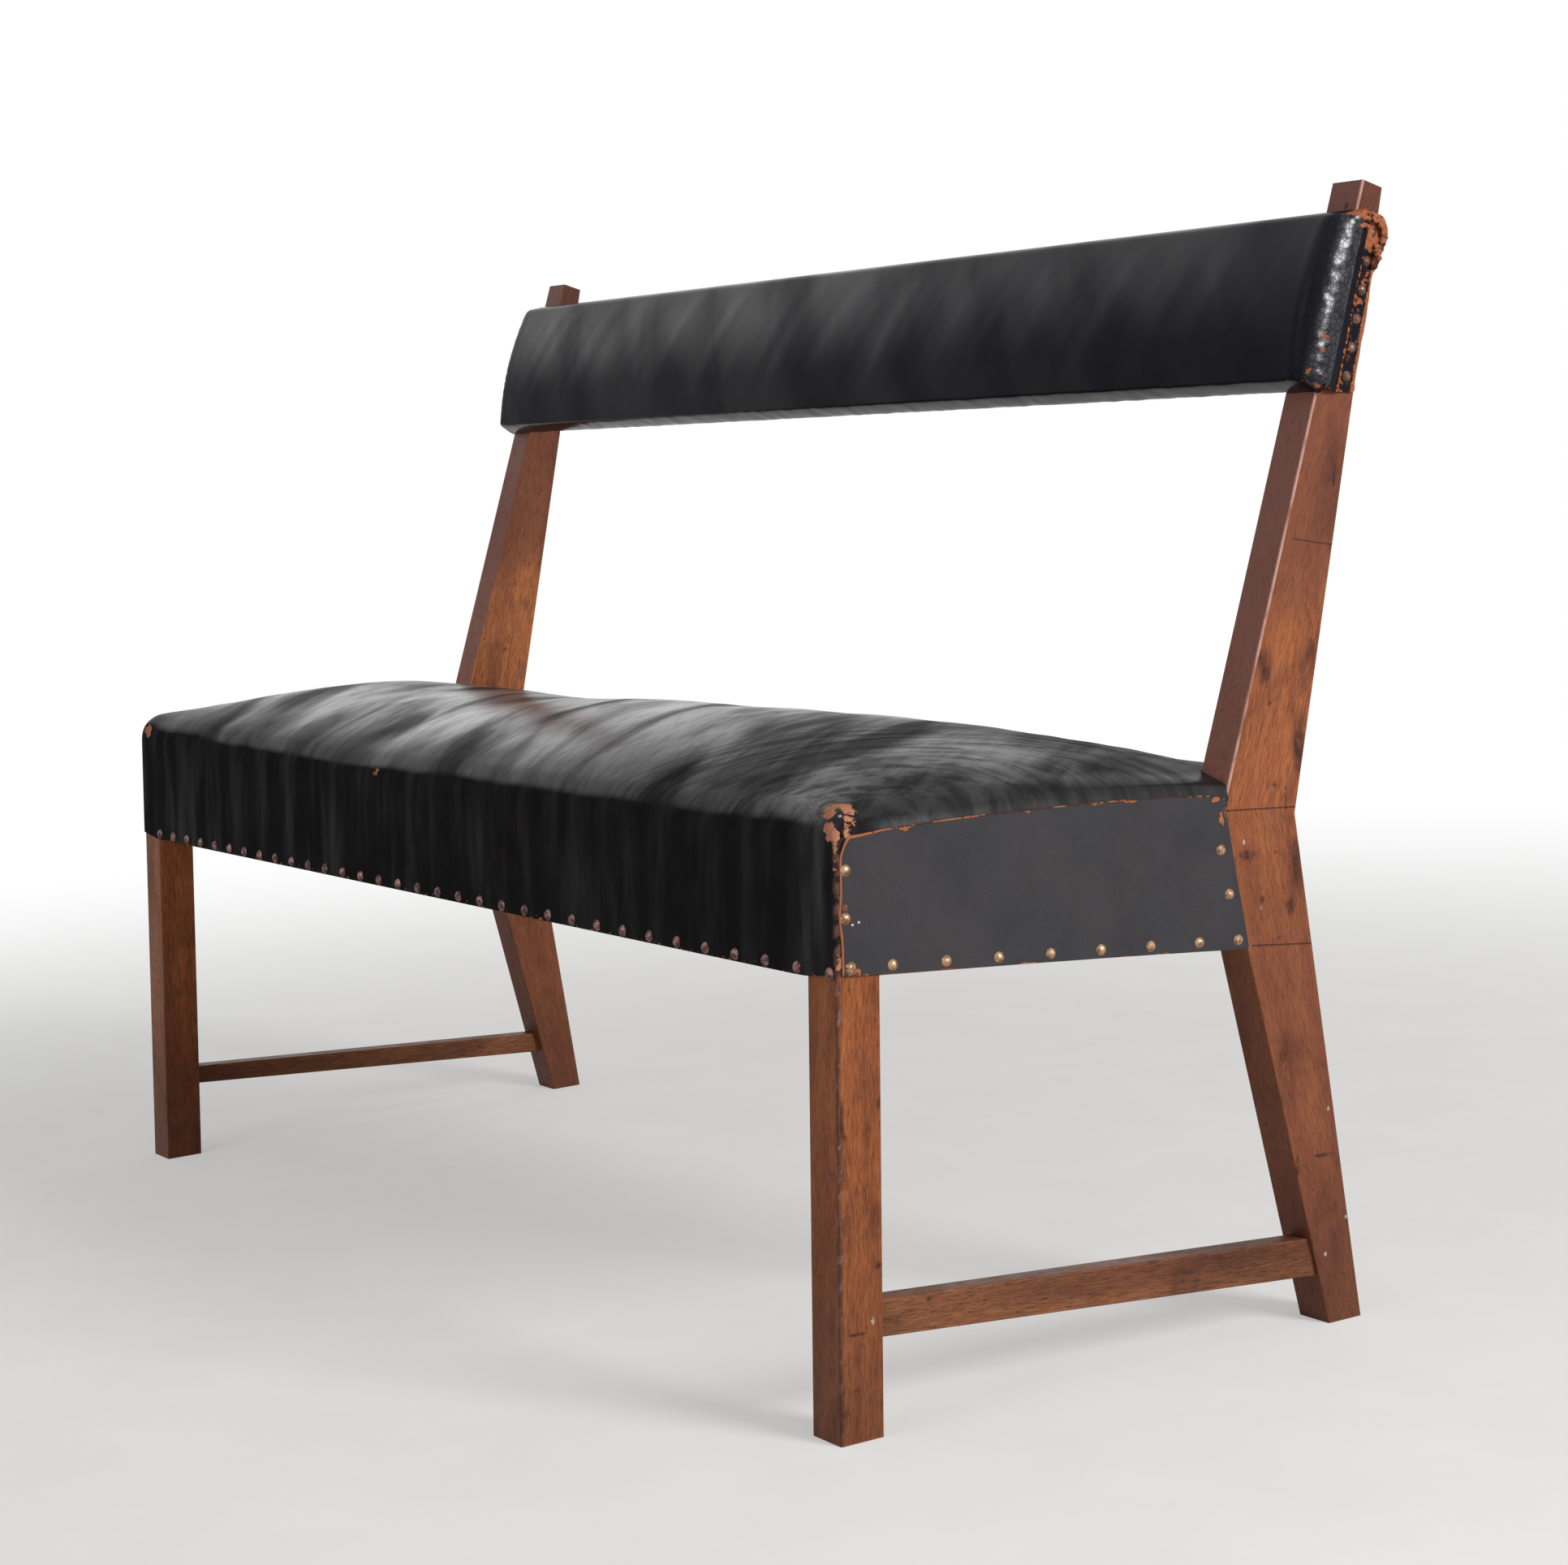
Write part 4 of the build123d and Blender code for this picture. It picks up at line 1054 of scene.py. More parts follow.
# %% Seat section
SEAT_STATIONS = [  # place along, front edge's top and radius, crown, rear edge's top
    (-662, 452, 9, 459, 457), (-655, 467, 14, 472, 465), (-640, 474, 22, 482, 471),
    (-600, 473, 24, 491, 475), (-540, 473, 25, 501, 478), (-470, 471, 26, 499, 477),
    (-390, 470, 27, 497, 476), (-210, 468, 27, 495, 475), (-90, 468, 27, 500, 476),
    (30, 469, 27, 502, 478), (200, 470, 27, 504, 478), (330, 470, 27, 504, 479),
    (450, 470, 27, 500, 478), (600, 471, 27, 488, 470), (640, 469, 25, 476, 463),
    (655, 459, 16, 467, 462), (662, 448, 9, 457, 455),
]
SEAT_END = 662.0
SEAT_CROWN_DEPTH = 205.0
SEAT_REAR_DEPTH = 431.0
REAR_ROLL = 14.0             # radius of the roll along the rear edge
FRONT_TURN = math.radians(72)
REAR_TURN = math.radians(74)
FRONT_HEM = 343.5
REAR_HEM = 339.0
HEM_LIFT = 5.0               # how far the front hem rises over the last stretch at each end
HEM_LIFT_FROM = 622.0
HEM_LIFT_RUN = 40.0
SECTION_ROWS = (
    [("front", k / 12) for k in range(12)] + [("front roll", k / 8) for k in range(8)]
    + [("crown", k / 26) for k in range(26)] + [("rear roll", k / 6) for k in range(6)]
    + [("rear", k / 9) for k in range(10)]
)


def seat_heights(x):
    return [smooth_through([(s[0], s[k]) for s in SEAT_STATIONS], x) for k in range(1, 5)]


def seat_section(x, part, share):
    """Depth and height of a point of the seat's section."""
    front_top, radius, crown, rear_top = seat_heights(x)
    reach = radius + LEATHER
    rear_reach = REAR_ROLL + LEATHER
    if part == "front":
        hem = FRONT_HEM + HEM_LIFT * max(0.0, (abs(x) - HEM_LIFT_FROM) / HEM_LIFT_RUN)
        return -LEATHER, hem + (front_top - radius - hem) * share
    if part == "front roll":
        angle = FRONT_TURN * share
        return radius - reach * math.cos(angle), front_top - radius + reach * math.sin(angle)
    if part == "rear roll":
        angle = REAR_TURN * (1 - share)
        depth = SEAT_REAR_DEPTH - REAR_ROLL + rear_reach * math.cos(angle)
        return depth, rear_top - REAR_ROLL + rear_reach * math.sin(angle)
    if part == "rear":
        height = rear_top - REAR_ROLL + (REAR_HEM - rear_top + REAR_ROLL) * share
        return SEAT_REAR_DEPTH + LEATHER, height
    # The crown is a parabola from the front roll, over its highest point, to the rear roll.
    y0, z0 = seat_section(x, "front roll", 1.0)
    y1, z1 = SEAT_CROWN_DEPTH, crown + LEATHER
    y2, z2 = seat_section(x, "rear roll", 0.0)
    y = y0 + (y2 - y0) * share
    z = (
        z0 * (y - y1) * (y - y2) / ((y0 - y1) * (y0 - y2))
        + z1 * (y - y0) * (y - y2) / ((y1 - y0) * (y1 - y2))
        + z2 * (y - y0) * (y - y1) / ((y2 - y0) * (y2 - y1))
    )
    return y, z


print("crown in the middle:", seat_heights(0)[2], "mm up the legs")

# %% Seat sheet
# Columns are even along the bench, closer as the seat rounds over, then tucked in at its ends.
# Each is given as its place along and how far in it lies under the section.
SEAT_COLUMNS = [(x, 0.0) for x in range(0, 637, 12)]
SEAT_COLUMNS += [(641, 0), (646, 0), (650, 0), (653.5, 0), (656.5, 0)]
SEAT_COLUMNS += [(659, 0.2), (660.8, 0.9), (661.8, 2.0), (662.0, 3.4), (661.4, 4.8)]
SEAT_COLUMNS += [(660.7, 6.4), (660.3, 10.0), (660.2, 14.0)]
SEAT_COLUMNS = [(-x, inset) for x, inset in SEAT_COLUMNS[:0:-1]] + SEAT_COLUMNS


def seat_spot(i, j):
    x, inset = SEAT_COLUMNS[i]
    at = math.copysign(min(abs(x) + inset, SEAT_END), x)
    y, z = seat_section(at, *SECTION_ROWS[j])
    if inset:
        before = seat_section(at, *SECTION_ROWS[max(j - 1, 0)])
        after = seat_section(at, *SECTION_ROWS[min(j + 1, len(SECTION_ROWS) - 1)])
        run = math.hypot(after[0] - before[0], after[1] - before[1])
        y += inset * (after[1] - before[1]) / run
        z -= inset * (after[0] - before[0]) / run
    return stand(x, y, z)


seat = lay_grid("seat_leather", len(SEAT_COLUMNS), len(SECTION_ROWS), seat_spot)
print("seat sheet:", len(seat.data.vertices), "points")

# %% [markdown]
# A real cover lies flat on the rails, where it is nailed, and swells over the stuffing between
# them. Blender's cloth does the same: the sheet is pinned over the rails and at its ends, air
# pressure stands in for the stuffing, and after twenty steps the sheet has taken on the slightly
# uneven fullness of leather. How far any point may go is capped, so that the seat keeps its
# measured height.

# %% Let the seat settle
HELD_BEYOND = 652.0          # the sheet is pinned from here out
HELD_BELOW = 446.0           # and from here down, where it lies on the rails
HELD_ROUND_POST = (600.0, 340.0)    # and round the posts, from this far out and back
SLACK = 1.5
SEAT_PRESSURE = 0.05


def seat_held(point):
    x, y, z = measure(point)
    by_post = abs(x) > HELD_ROUND_POST[0] and y > HELD_ROUND_POST[1]
    return abs(x) > HELD_BEYOND or z < HELD_BELOW or by_post


def seat_slack(point):
    """How far in a point starts, so that the pressure has something to fill."""
    x, y, z = measure(point)
    corner = ease(abs(x), 590, 560) if y > 330 else 1.0
    slack = SLACK * corner * ease(z, HELD_BELOW, HELD_BELOW + 20)
    return -slack * ease(abs(x), HELD_BEYOND, HELD_BEYOND - 32)


push_out(seat, seat_slack)
settle(seat, seat_held, pressure=SEAT_PRESSURE, most=4.0)
add_modifier(seat, "SUBSURF", levels=1, render_levels=1)

# %% Fold and wrinkle the seat
def seat_ripples(point):
    """Folds that sitting has pressed into the leather, in millimetres."""
    x, y, z = measure(point)
    # The folds run three to the left for every four back, and 1.25 is the length of that slant.
    across, along = (x + 0.75 * y) / 1.25, (y - 0.75 * x) / 1.25
    on_top = ease(z, 450, 468) * ease(650 - abs(x), 0, 40)
    broad = noise.noise(Vector((across / 74, along / 330, 3.1)))
    narrow = noise.noise(Vector((across / 26, along / 150, 8.7)))
    small = noise.noise(Vector((across / 7, along / 40, 1.9)))
    right = ease(x, 300, 600)
    top = 2.2 * broad + (0.45 + 0.35 * right) * narrow + 0.18 * right * small
    ring = math.hypot(x - 655, (y - 4) * 0.8)
    creases = math.sin(ring / 3.4 + 2.5 * noise.noise(Vector((x / 60, y / 60, 0.4))))
    top += 0.16 * creases * ease(ring, 16, 34) * ease(ring, 220, 90)
    front = 0.32 * noise.noise(Vector((x / 34, z / 150, 5.5))) * ease(y, 12, 2)
    return top * on_top + front * ease(z, 350, 365)


push_out(seat, seat_ripples)
print("seat measures", [round(c, 3) for c in seat.dimensions], "m")

# %% [markdown]
# The posts come up through the two rear corners of the seat. An upholsterer cuts the leather
# round them, and so does this step: the sheet is divided along the post's faces with bisect,
# and the corner that is left behind is deleted.

# %% Cut the leather round the posts
def post_front(z):
    return KNEE[0] + (z - KNEE[1]) * (POST_TOP[0] - KNEE[0]) / (POST_TOP[1] - KNEE[1])


def choose_faces(piece, chosen):
    """Selects the faces whose middle is chosen, in face mode."""
    bpy.ops.mesh.select_mode(type="FACE")
    bpy.ops.mesh.select_all(action="DESELECT")
    bpy.ops.object.mode_set(mode="OBJECT")
    for face in piece.data.polygons:
        face.select = chosen(*measure(face.center))
    bpy.ops.object.mode_set(mode="EDIT")


POST_GAP = 0.4               # clear space between the leather and a post
CUT_PLAY = 0.1               # so that faces which end on the cut count as behind it
activate(seat)
bpy.ops.object.mode_set(mode="EDIT")
for side in (1, -1):
    # Only the faces near each post are divided: along its inner side, then along its front.
    choose_faces(seat, lambda x, y, z: x * side > 590 and y > 340)
    bpy.ops.mesh.bisect(
        plane_co=stand(side * (POST_INNER - POST_GAP), 400, 400), plane_no=(1, 0, 0),
    )
    choose_faces(seat, lambda x, y, z: x * side > 600 and 340 < y < 425)
    bpy.ops.mesh.bisect(
        plane_co=on_pad(0, POST_GAP, -200),
        plane_no=on_pad(0, 1, 0) - on_pad(0, 0, 0),
    )
choose_faces(
    seat,
    lambda x, y, z: abs(x) > POST_INNER - POST_GAP and y > post_front(z) - POST_GAP - CUT_PLAY,
)
bpy.ops.mesh.delete(type="FACE")
bpy.ops.object.mode_set(mode="OBJECT")
print("seat sheet now has", len(seat.data.polygons), "faces")

# %% [markdown]
# Where the leather has worn through is painted on the points of the sheet, as an attribute that
# its finish reads. An image would need the sheet to be unwrapped first, and these places are
# few, so each is a centre, a reach and an amount. Only then does the sheet get its thickness. It
# grows inwards, so that the outer face stays where it was put.

# %% Wear, thickness and place of the seat leather
SEAT_WORN = [  # centre and reach of each worn place, and how worn it is
    ((642, 6.5, 463), (8, 7, 5.5), 0.86), ((636, 11, 467), (8, 8, 6), 0.84),
    ((636, 16, 470), (9, 7, 6), 0.84), ((643, 20, 469.5), (9, 7, 6), 0.86),
    ((650, 19, 466), (6.5, 6, 7), 0.86), ((656, 15.5, 461.5), (6.5, 6, 7), 0.86),
    ((661, 12, 457), (5, 6, 7), 0.86), ((661.5, 10.5, 451), (5, 5, 7), 0.84),
    ((649.5, 1, 455), (7, 6, 6), 0.80), ((655, 0.5, 450.5), (8, 6, 8), 0.86),
    ((659.5, 1.5, 450), (4.5, 5, 6), 0.80), ((661, -1, 442), (3, 3.4, 9), 0.66),
    ((661, -1.5, 428), (3, 3.4, 14), 0.44), ((661, 1, 356), (5, 5, 12), 0.50),
    ((613, 8.4, 466.2), (5, 8, 5), 0.60), ((632, 3.3, 460.3), (4, 4, 4), 0.60),
    ((-642, -2, 457), (12, 8, 9), 0.80), ((-92, -1, 449), (8, 6, 7), 0.62),
    ((-661, 0, 400), (4, 4, 60), 0.40),
]


def worn_places(places, x, y, z):
    """How worn a point is: the strongest of the listed places that reach it."""
    worn = 0.0
    for (cx, cy, cz), (rx, ry, rz), amount in places:
        away = math.sqrt(((x - cx) / rx) ** 2 + ((y - cy) / ry) ** 2 + ((z - cz) / rz) ** 2)
        worn = max(worn, amount * ease(away, 1.25, 0.35))
    return worn


def seat_wear(point):
    x, y, z = measure(point)
    worn = worn_places(SEAT_WORN, x, y, z)
    hem = 0.36 * ease(z, 352, 344) * ease(y, 20, 5)
    return max(worn, hem)


paint_wear(seat, seat_wear)
thicken(seat, LEATHER - PLAY, seat_leather, raw_edge)
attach(seat, "root")
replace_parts(seat, "seat_cover", "seat_stuffing")
print("seat leather:", len(seat.data.polygons), "faces")

# %% [markdown]
# ## Side panels
# Each side of the seat is closed by a flat panel of matt leather, laid over the folded front
# leather and nailed along three sides. Its edges were left raw. The front edge wanders a little,
# as a knife cut does. The panel is drawn once, on the right, and mirrored for the left.

# %% Side panel outline
# Measured points of the edges: top and bottom as depth and height, front as height and depth
PANEL_TOP = [(9.9, 447), (56, 452), (163, 457), (274, 458.8), (356.5, 456.6), (372, 452)]
PANEL_BOTTOM = [(2, 347), (60, 345.8), (162, 342.7), (270, 339.6), (384, 335.8)]
PANEL_FRONT = [(347, 5.0), (371, 4.4), (391, 2.3), (409.5, 3.7), (431, 3.4), (446.6, 9.0)]
PANEL_OUT = END + LEATHER + PLAY
POST_AT_HEM = (386.7, 335.3)    # depth and height of the post's front face under the panel
FIRST_HEM_NAIL = (11.2, 353.0)
LAST_HEM_NAIL = (375.0, 343.5)
HEM_NAIL_PITCH = 48.0
SIDE_NAILS = [(7.1, 424), (6.8, 389), (357.5, 415), (366, 380), FIRST_HEM_NAIL, LAST_HEM_NAIL]
for k in range(1, 8):
    depth = HEM_NAIL_PITCH * k
    share = (depth - FIRST_HEM_NAIL[0]) / (LAST_HEM_NAIL[0] - FIRST_HEM_NAIL[0])
    SIDE_NAILS.append((depth, FIRST_HEM_NAIL[1] + (LAST_HEM_NAIL[1] - FIRST_HEM_NAIL[1]) * share))
print("a panel is held by", len(SIDE_NAILS), "nails")


def post_edge(z):
    """Depth of the post's front face at seat height and below."""
    if z > KNEE[1]:
        return post_front(z)
    slope = (KNEE[0] - POST_AT_HEM[0]) / (KNEE[1] - POST_AT_HEM[1])
    return POST_AT_HEM[0] + (z - POST_AT_HEM[1]) * slope


# %% Side panel sheet
PANEL_COLUMNS = 72
PANEL_ROWS = 26


def panel_height(y, up):
    """Height of a point of the panel, from its depth and its share of the way up."""
    low = smooth_through(PANEL_BOTTOM, y)
    return low + (smooth_through(PANEL_TOP, y) - low) * up


def panel_spot(i, j):
    along, up = i / (PANEL_COLUMNS - 1), j / (PANEL_ROWS - 1)
    # The front edge isn't straight, so a first guess at the depth is put right by the height.
    z = panel_height(5 + 370 * along, up)
    front, rear = smooth_through(PANEL_FRONT, z), post_edge(z) - 0.5
    y = front + (rear - front) * along
    z = panel_height(y, up)
    nearest = min(math.hypot(y - a, z - b) for a, b in SIDE_NAILS)
    swell = 0.5 * ease(nearest, 4, 14) + 0.45 * noise.noise(Vector((y / 40, z / 40, 2.2)))
    swell *= ease(up, 1.0, 0.8) * ease(along, 0.0, 0.03)
    return stand(PANEL_OUT + swell, y, z)


panel = lay_grid("side_panel_leather_right", PANEL_COLUMNS, PANEL_ROWS, panel_spot)
print("panel sheet:", len(panel.data.vertices), "points")

# %% Wear and thickness of the side panel
PANEL_WORN = [  # centre and reach of each worn place, and how worn it is
    ((662, 14, 350), (5, 9, 3), 0.75), ((662, 20, 346), (5, 12, 3), 0.7),
    ((662, 96, 344), (5, 12, 2.2), 0.7), ((662, 170, 342), (5, 14, 2.6), 0.85),
    ((662, 262, 340), (5, 10, 2.0), 0.6), ((662, 300, 339), (5, 9, 2.2), 0.75),
    ((662, 6, 397), (4, 5, 5), 0.6), ((662, 4, 360), (4, 3, 16), 0.5),
    ((662, 60, 452), (4, 9, 2.6), 0.85), ((662, 170, 457), (4, 6, 2.4), 0.7),
    ((662, 236, 458.5), (4, 8, 2.4), 0.75), ((662, 268, 459), (4, 9, 2.6), 0.8),
    ((662, 352, 455), (4, 5, 4), 0.8), ((662, 358, 440), (4, 3, 9), 0.8),
]


def panel_wear(point):
    x, y, z = measure(point)
    return worn_places(PANEL_WORN, abs(x), y, z)


add_modifier(panel, "SUBSURF", levels=1, render_levels=1)
paint_wear(panel, panel_wear)
thicken(panel, LEATHER - PLAY, side_leather, raw_edge)
print("right panel:", len(panel.data.polygons), "faces")

# %% Mirror the side panel
def mirrored(piece, name):
    """A copy on the left, with its own mesh and its faces turned the right way out again."""
    activate(piece)
    bpy.ops.object.duplicate()
    copy = bpy.context.object
    copy.name = copy.data.name = name
    for vertex in copy.data.vertices:
        vertex.co.x = -vertex.co.x
    bpy.ops.object.mode_set(mode="EDIT")
    bpy.ops.mesh.select_all(action="SELECT")
    bpy.ops.mesh.flip_normals()
    bpy.ops.object.mode_set(mode="OBJECT")
    return copy


left_panel = mirrored(panel, "side_panel_leather_left")
for piece, node in ((panel, "side_panel_right"), (left_panel, "side_panel_left")):
    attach(piece, "root")
    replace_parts(piece, node)
print("side panels:", len(panel.data.polygons), "faces each")

# %% [markdown]
# ## The worn seam round the panel
# The edge where the panel meets the seat leather is a thin bead: tan where it is bare, dark
# where dye is left. It is a tube along the panel's front edge, along its top and a little way
# down the post. A tube with a varying radius reads as a rubbed edge better than a line of
# colour would, because it catches the light.

# %% A tube along a line
def bead(name, line, radius, finish, sides=8, place=stand):
    """A thin tube along a line of points; radius(k) gives its size at each, in millimetres."""
    points = [place(*p) for p in line]

    def around(i, j):
        before, after = points[max(i - 1, 0)], points[min(i + 1, len(points) - 1)]
        run = (after - before).normalized()
        out = Vector((1, 0, 0))
        up = run.cross(out).normalized()
        angle = -2 * math.pi * j / sides
        grow = radius(i) / 1000 * (0.35 if i in (0, len(points) - 1) else 1.0)
        return points[i] + (out * math.cos(angle) + up * math.sin(angle)) * grow

    tube = lay_grid(name, len(points), sides + 1, around)
    tidy_mesh(tube, 0.00002)
    activate(tube)
    bpy.ops.object.mode_set(mode="EDIT")
    bpy.ops.mesh.select_mode(type="EDGE")
    bpy.ops.mesh.select_all(action="DESELECT")
    bpy.ops.mesh.select_non_manifold()
    bpy.ops.mesh.fill_holes(sides=sides)
    bpy.ops.mesh.select_all(action="SELECT")
    bpy.ops.mesh.normals_make_consistent(inside=False)
    bpy.ops.object.mode_set(mode="OBJECT")
    tube.data.materials.append(finish)
    bpy.ops.object.shade_smooth()
    return tube


print("bead helper ready")

# %% The seam's line
SEAM_OUT = 661.6             # how far out along the bench it lies
SEAM_FRONT = (346.5, 444.0)  # heights between which it runs up the panel's front edge
SEAM_TOP = (10.5, 357.0)     # depths between which it runs along the panel's top
SEAM_REAR = 456.0            # height from which it runs down the post
FRONT_COUNT = 34             # points on each stretch
TOP_COUNT = 120
REAR_COUNT = 13
THICK_COUNT = 12             # points over which the bead thins, past the front corner
seam_line = []
for k in range(FRONT_COUNT):
    z = SEAM_FRONT[0] + (SEAM_FRONT[1] - SEAM_FRONT[0]) * k / (FRONT_COUNT - 1)
    seam_line.append((SEAM_OUT, smooth_through(PANEL_FRONT, z) - 0.3, z))
for k in range(TOP_COUNT):
    y = SEAM_TOP[0] + (SEAM_TOP[1] - SEAM_TOP[0]) * k / (TOP_COUNT - 1)
    wander = 0.35 * noise.noise(Vector((y / 9, 0, 4.0)))
    seam_line.append((SEAM_OUT, y, smooth_through(PANEL_TOP, y) + 0.4 + wander))
for k in range(1, REAR_COUNT + 1):
    z = SEAM_REAR - 2.2 * k
    wander = 0.7 * noise.noise(Vector((z / 6, 1, 2)))
    seam_line.append((SEAM_OUT - 0.2, post_edge(z) - 1.4 + wander, z))
print("seam line:", len(seam_line), "points")

# %% Seam bead
def seam_radius(k):
    rough = 0.35 * noise.noise(Vector((k / 2.3, 7.7, 0)))
    if k < FRONT_COUNT:
        return 1.0 + rough * 0.6
    if k < FRONT_COUNT + THICK_COUNT:
        return 1.25 - 0.05 * (k - FRONT_COUNT) + rough * 0.7
    if k < FRONT_COUNT + TOP_COUNT:
        return 0.60 + rough * 0.7
    return 1.0 + rough


def seam_wear(point):
    x, y, z = measure(point)
    if y < 30:
        return 0.88
    if z < 452 and y > 300:
        return 0.66
    patches = 0.55 * noise.noise(Vector((y / 18, 0.5, 0)))
    return 0.28 + patches + 0.24 * ease(y, 150, 60) + 0.12 * ease(y, 250, 340)


seam = bead("side_seam_right", seam_line, seam_radius, raw_edge)
paint_wear(seam, seam_wear)
left_seam = mirrored(seam, "side_seam_left")
for piece in (seam, left_seam):
    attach(piece, "root")
print("seam bead:", len(seam.data.polygons), "faces each")

# %% [markdown]
# ## Back rail leather
# The back rail's leather starts behind the board, comes under it, over the padded front, over
# the top and down behind again. Past each end it turns round the corner onto the outer face of
# the post, where six nails hold it in a torn groove. In plan the end is an outline of points,
# and each row of the section follows that outline.

# %% Back rail section and plan
PAD_MIDDLE = 70.0            # height of the fullest line of the padded front
PAD_FULL = 31.0              # and its reach there


def pad_front(up):
    """Reach of the padded front at a height up it."""
    half = 67.0 if up < PAD_MIDDLE else 64.0
    fall = 8.0 if up < PAD_MIDDLE else 7.5
    return PAD_FULL - fall * ((up - PAD_MIDDLE) / half) ** 2


# Rows, as reach forward and height: down behind the board's foot, under it and up the front,
# then over the top and down behind again
PAD_ROWS = [(-2, 24), (-2, 12), (-2, 3), (-1, -1.4), (3, -2), (10, -1.2), (17, 0.2), (21.4, 1.6)]
PAD_ROWS += [(pad_front(4 + 128.5 * k / 23) + 0.2, 4 + 128.5 * k / 23) for k in range(24)]
PAD_ROWS += [(22, 135.6), (17.5, 138.3), (11, 141.5), (4, 144.9), (-0.6, 146), (-2, 145)]
PAD_ROWS += [(-2, 134), (-2, 121)]
# Past the last full section: place along, then the share of the section's reach that is left
PAD_ROUND = [
    (650, 0.99), (654, 0.965), (657.5, 0.925), (660.5, 0.865), (663, 0.79), (665.2, 0.69),
    (667, 0.58), (668.4, 0.46), (669.4, 0.33), (670, 0.20), (670.2, 0.07),
]
# On the post's outer face: place along, and share of the way back to the leather's edge
PAD_FLAP = [
    (669.9, 0.03), (669.1, 0.09), (667.9, 0.16), (666.5, 0.24), (665.2, 0.32), (664.2, 0.39),
    (663.8, 0.44), (664.3, 0.49), (663.9, 0.54), (662.6, 0.59), (662.2, 0.66), (662.2, 0.75),
    (662.2, 0.84), (662.6, 0.90), (663.6, 0.95), (663.4, 1.0),
]
PAD_COLUMNS = [(x, "full", 1.0) for x in range(0, 613, 9)] + [(619, "full", 1.0)]
PAD_COLUMNS += [(624.2, "full", 1.0), (624.7, "post", 1.0)]
PAD_COLUMNS += [(x, "post", 1.0) for x in (632, 639, 645)]
PAD_COLUMNS += [(x, "post", share) for x, share in PAD_ROUND]
PAD_COLUMNS += [(x, "flap", share) for x, share in PAD_FLAP]
PAD_COLUMNS = [(-x, kind, share) for x, kind, share in PAD_COLUMNS[:0:-1]] + PAD_COLUMNS
print("back rail:", len(PAD_ROWS), "rows and", len(PAD_COLUMNS), "columns")

# %% Back rail sheet
PAD_HIGH_EDGE = 146.0
PAD_LOW_EDGE = -2.0


def flap_edge(up):
    """How far behind the post's front face the torn edge lies."""
    return 34.5 - 9.5 * up / 133 + 5 * ease(up, 108, 122)


def pad_spot(i, j):
    x, kind, share = PAD_COLUMNS[i]
    forward, up = PAD_ROWS[j]
    # Behind the board there is no room past a post, so there the rows end along the edges.
    turned = j < 3 or j > len(PAD_ROWS) - 3
    if kind == "full":
        return on_pad(x, forward, up)
    edge = PAD_LOW_EDGE if j < len(PAD_ROWS) / 2 else PAD_HIGH_EDGE
    if kind == "post":
        rise = 6 * ease(share, 0.9, 0.3) * ease(up, 40, 0)
        if turned or forward < 0:
            return on_pad(x, 0.2, edge + (rise if edge < 0 else 0.0))
        return on_pad(x, max(forward * share, 0.2), up + rise)
    if turned or forward < 0:
        up = edge
    up += 6 * ease(share, 0.35, 0.0) * ease(up, 40, 0)
    side = math.copysign(1, x)
    back = share * flap_edge(up) * (1 + 0.04 * noise.noise(Vector((up / 5, 2.5, side))))
    waver = 0.8 * noise.noise(Vector((up / 7, share * 6, 3 * side))) * ease(share, 0.3, 0.5)
    loose = ease(up, 112, 140) * ease(share, 0.30, 0.70)
    bunch = 3.4 * loose * abs(noise.noise(Vector((up / 5, share * 8, 6.0 * side))))
    drop = back * math.tan(PAD_LEAN) * ease(up, 130, 60) - 7 * loose * ease(share, 0.6, 1.0)
    return on_pad(x + side * (waver + bunch + 0.3), -back - 2.4 * loose, up + drop)


pad = lay_grid("back_leather", len(PAD_COLUMNS), len(PAD_ROWS), pad_spot)
tidy_mesh(pad)
print("back sheet:", len(pad.data.vertices), "points")

# %% Let the back rail settle, then ripple it
PAD_HELD_BEYOND = 650.0      # the sheet is pinned from here out,
PAD_HELD_BEHIND = 14.0       # where it reaches less far forward than this,
PAD_FREE = (3.0, 133.0)      # and outside these two heights
PAD_PRESSURE = 12.0


def pad_held(point):
    x, forward, up = measure_pad(point)
    at_edge = up < PAD_FREE[0] or up > PAD_FREE[1]
    return abs(x) > PAD_HELD_BEYOND or forward < PAD_HELD_BEHIND or at_edge


push_out(pad, lambda point: 0.0 if pad_held(point) else -1.0)
settle(pad, pad_held, pressure=PAD_PRESSURE, most=3.0)
add_modifier(pad, "SUBSURF", levels=1, render_levels=1)


def pad_ripples(point):
    """Slack folds that lean to the right over the padded front."""
    x, forward, up = measure_pad(point)
    across, along = x - 0.55 * up, up + 0.55 * x
    front = ease(forward, 8, 22) * ease(640 - abs(x), 0, 60)
    broad = noise.noise(Vector((across / 52, along / 420, 9.1)))
    narrow = noise.noise(Vector((across / 20, along / 160, 4.4)))
    folds = (1.1 * broad + 0.4 * narrow) * front * ease(up, 0, 30) * ease(up, 138, 110)
    end = ease(abs(x), 648, 658) * ease(forward, -8, 2)
    crimp = noise.noise(Vector((x / 12, forward / 9, up / 3.6)))
    under = 0.5 * noise.noise(Vector((x / 14, forward / 12, 0.7))) * ease(up, 8, 0)
    return folds + 0.55 * end * crimp + under


push_out(pad, pad_ripples)
print("back rail measures", [round(c, 3) for c in pad.dimensions], "m")

# %% Wear, thickness and place of the back rail leather
PAD_BITES = [  # centre and reach of each bite out of the end's arris, and how worn it is
    ((667, 10, 40), (5, 9, 5), 0.62), ((667, 9, 30), (5, 8, 4), 0.66),
    ((666, 15, 22), (5, 6, 3), 0.5), ((666, 18, 10), (5, 6, 4), 0.6),
]


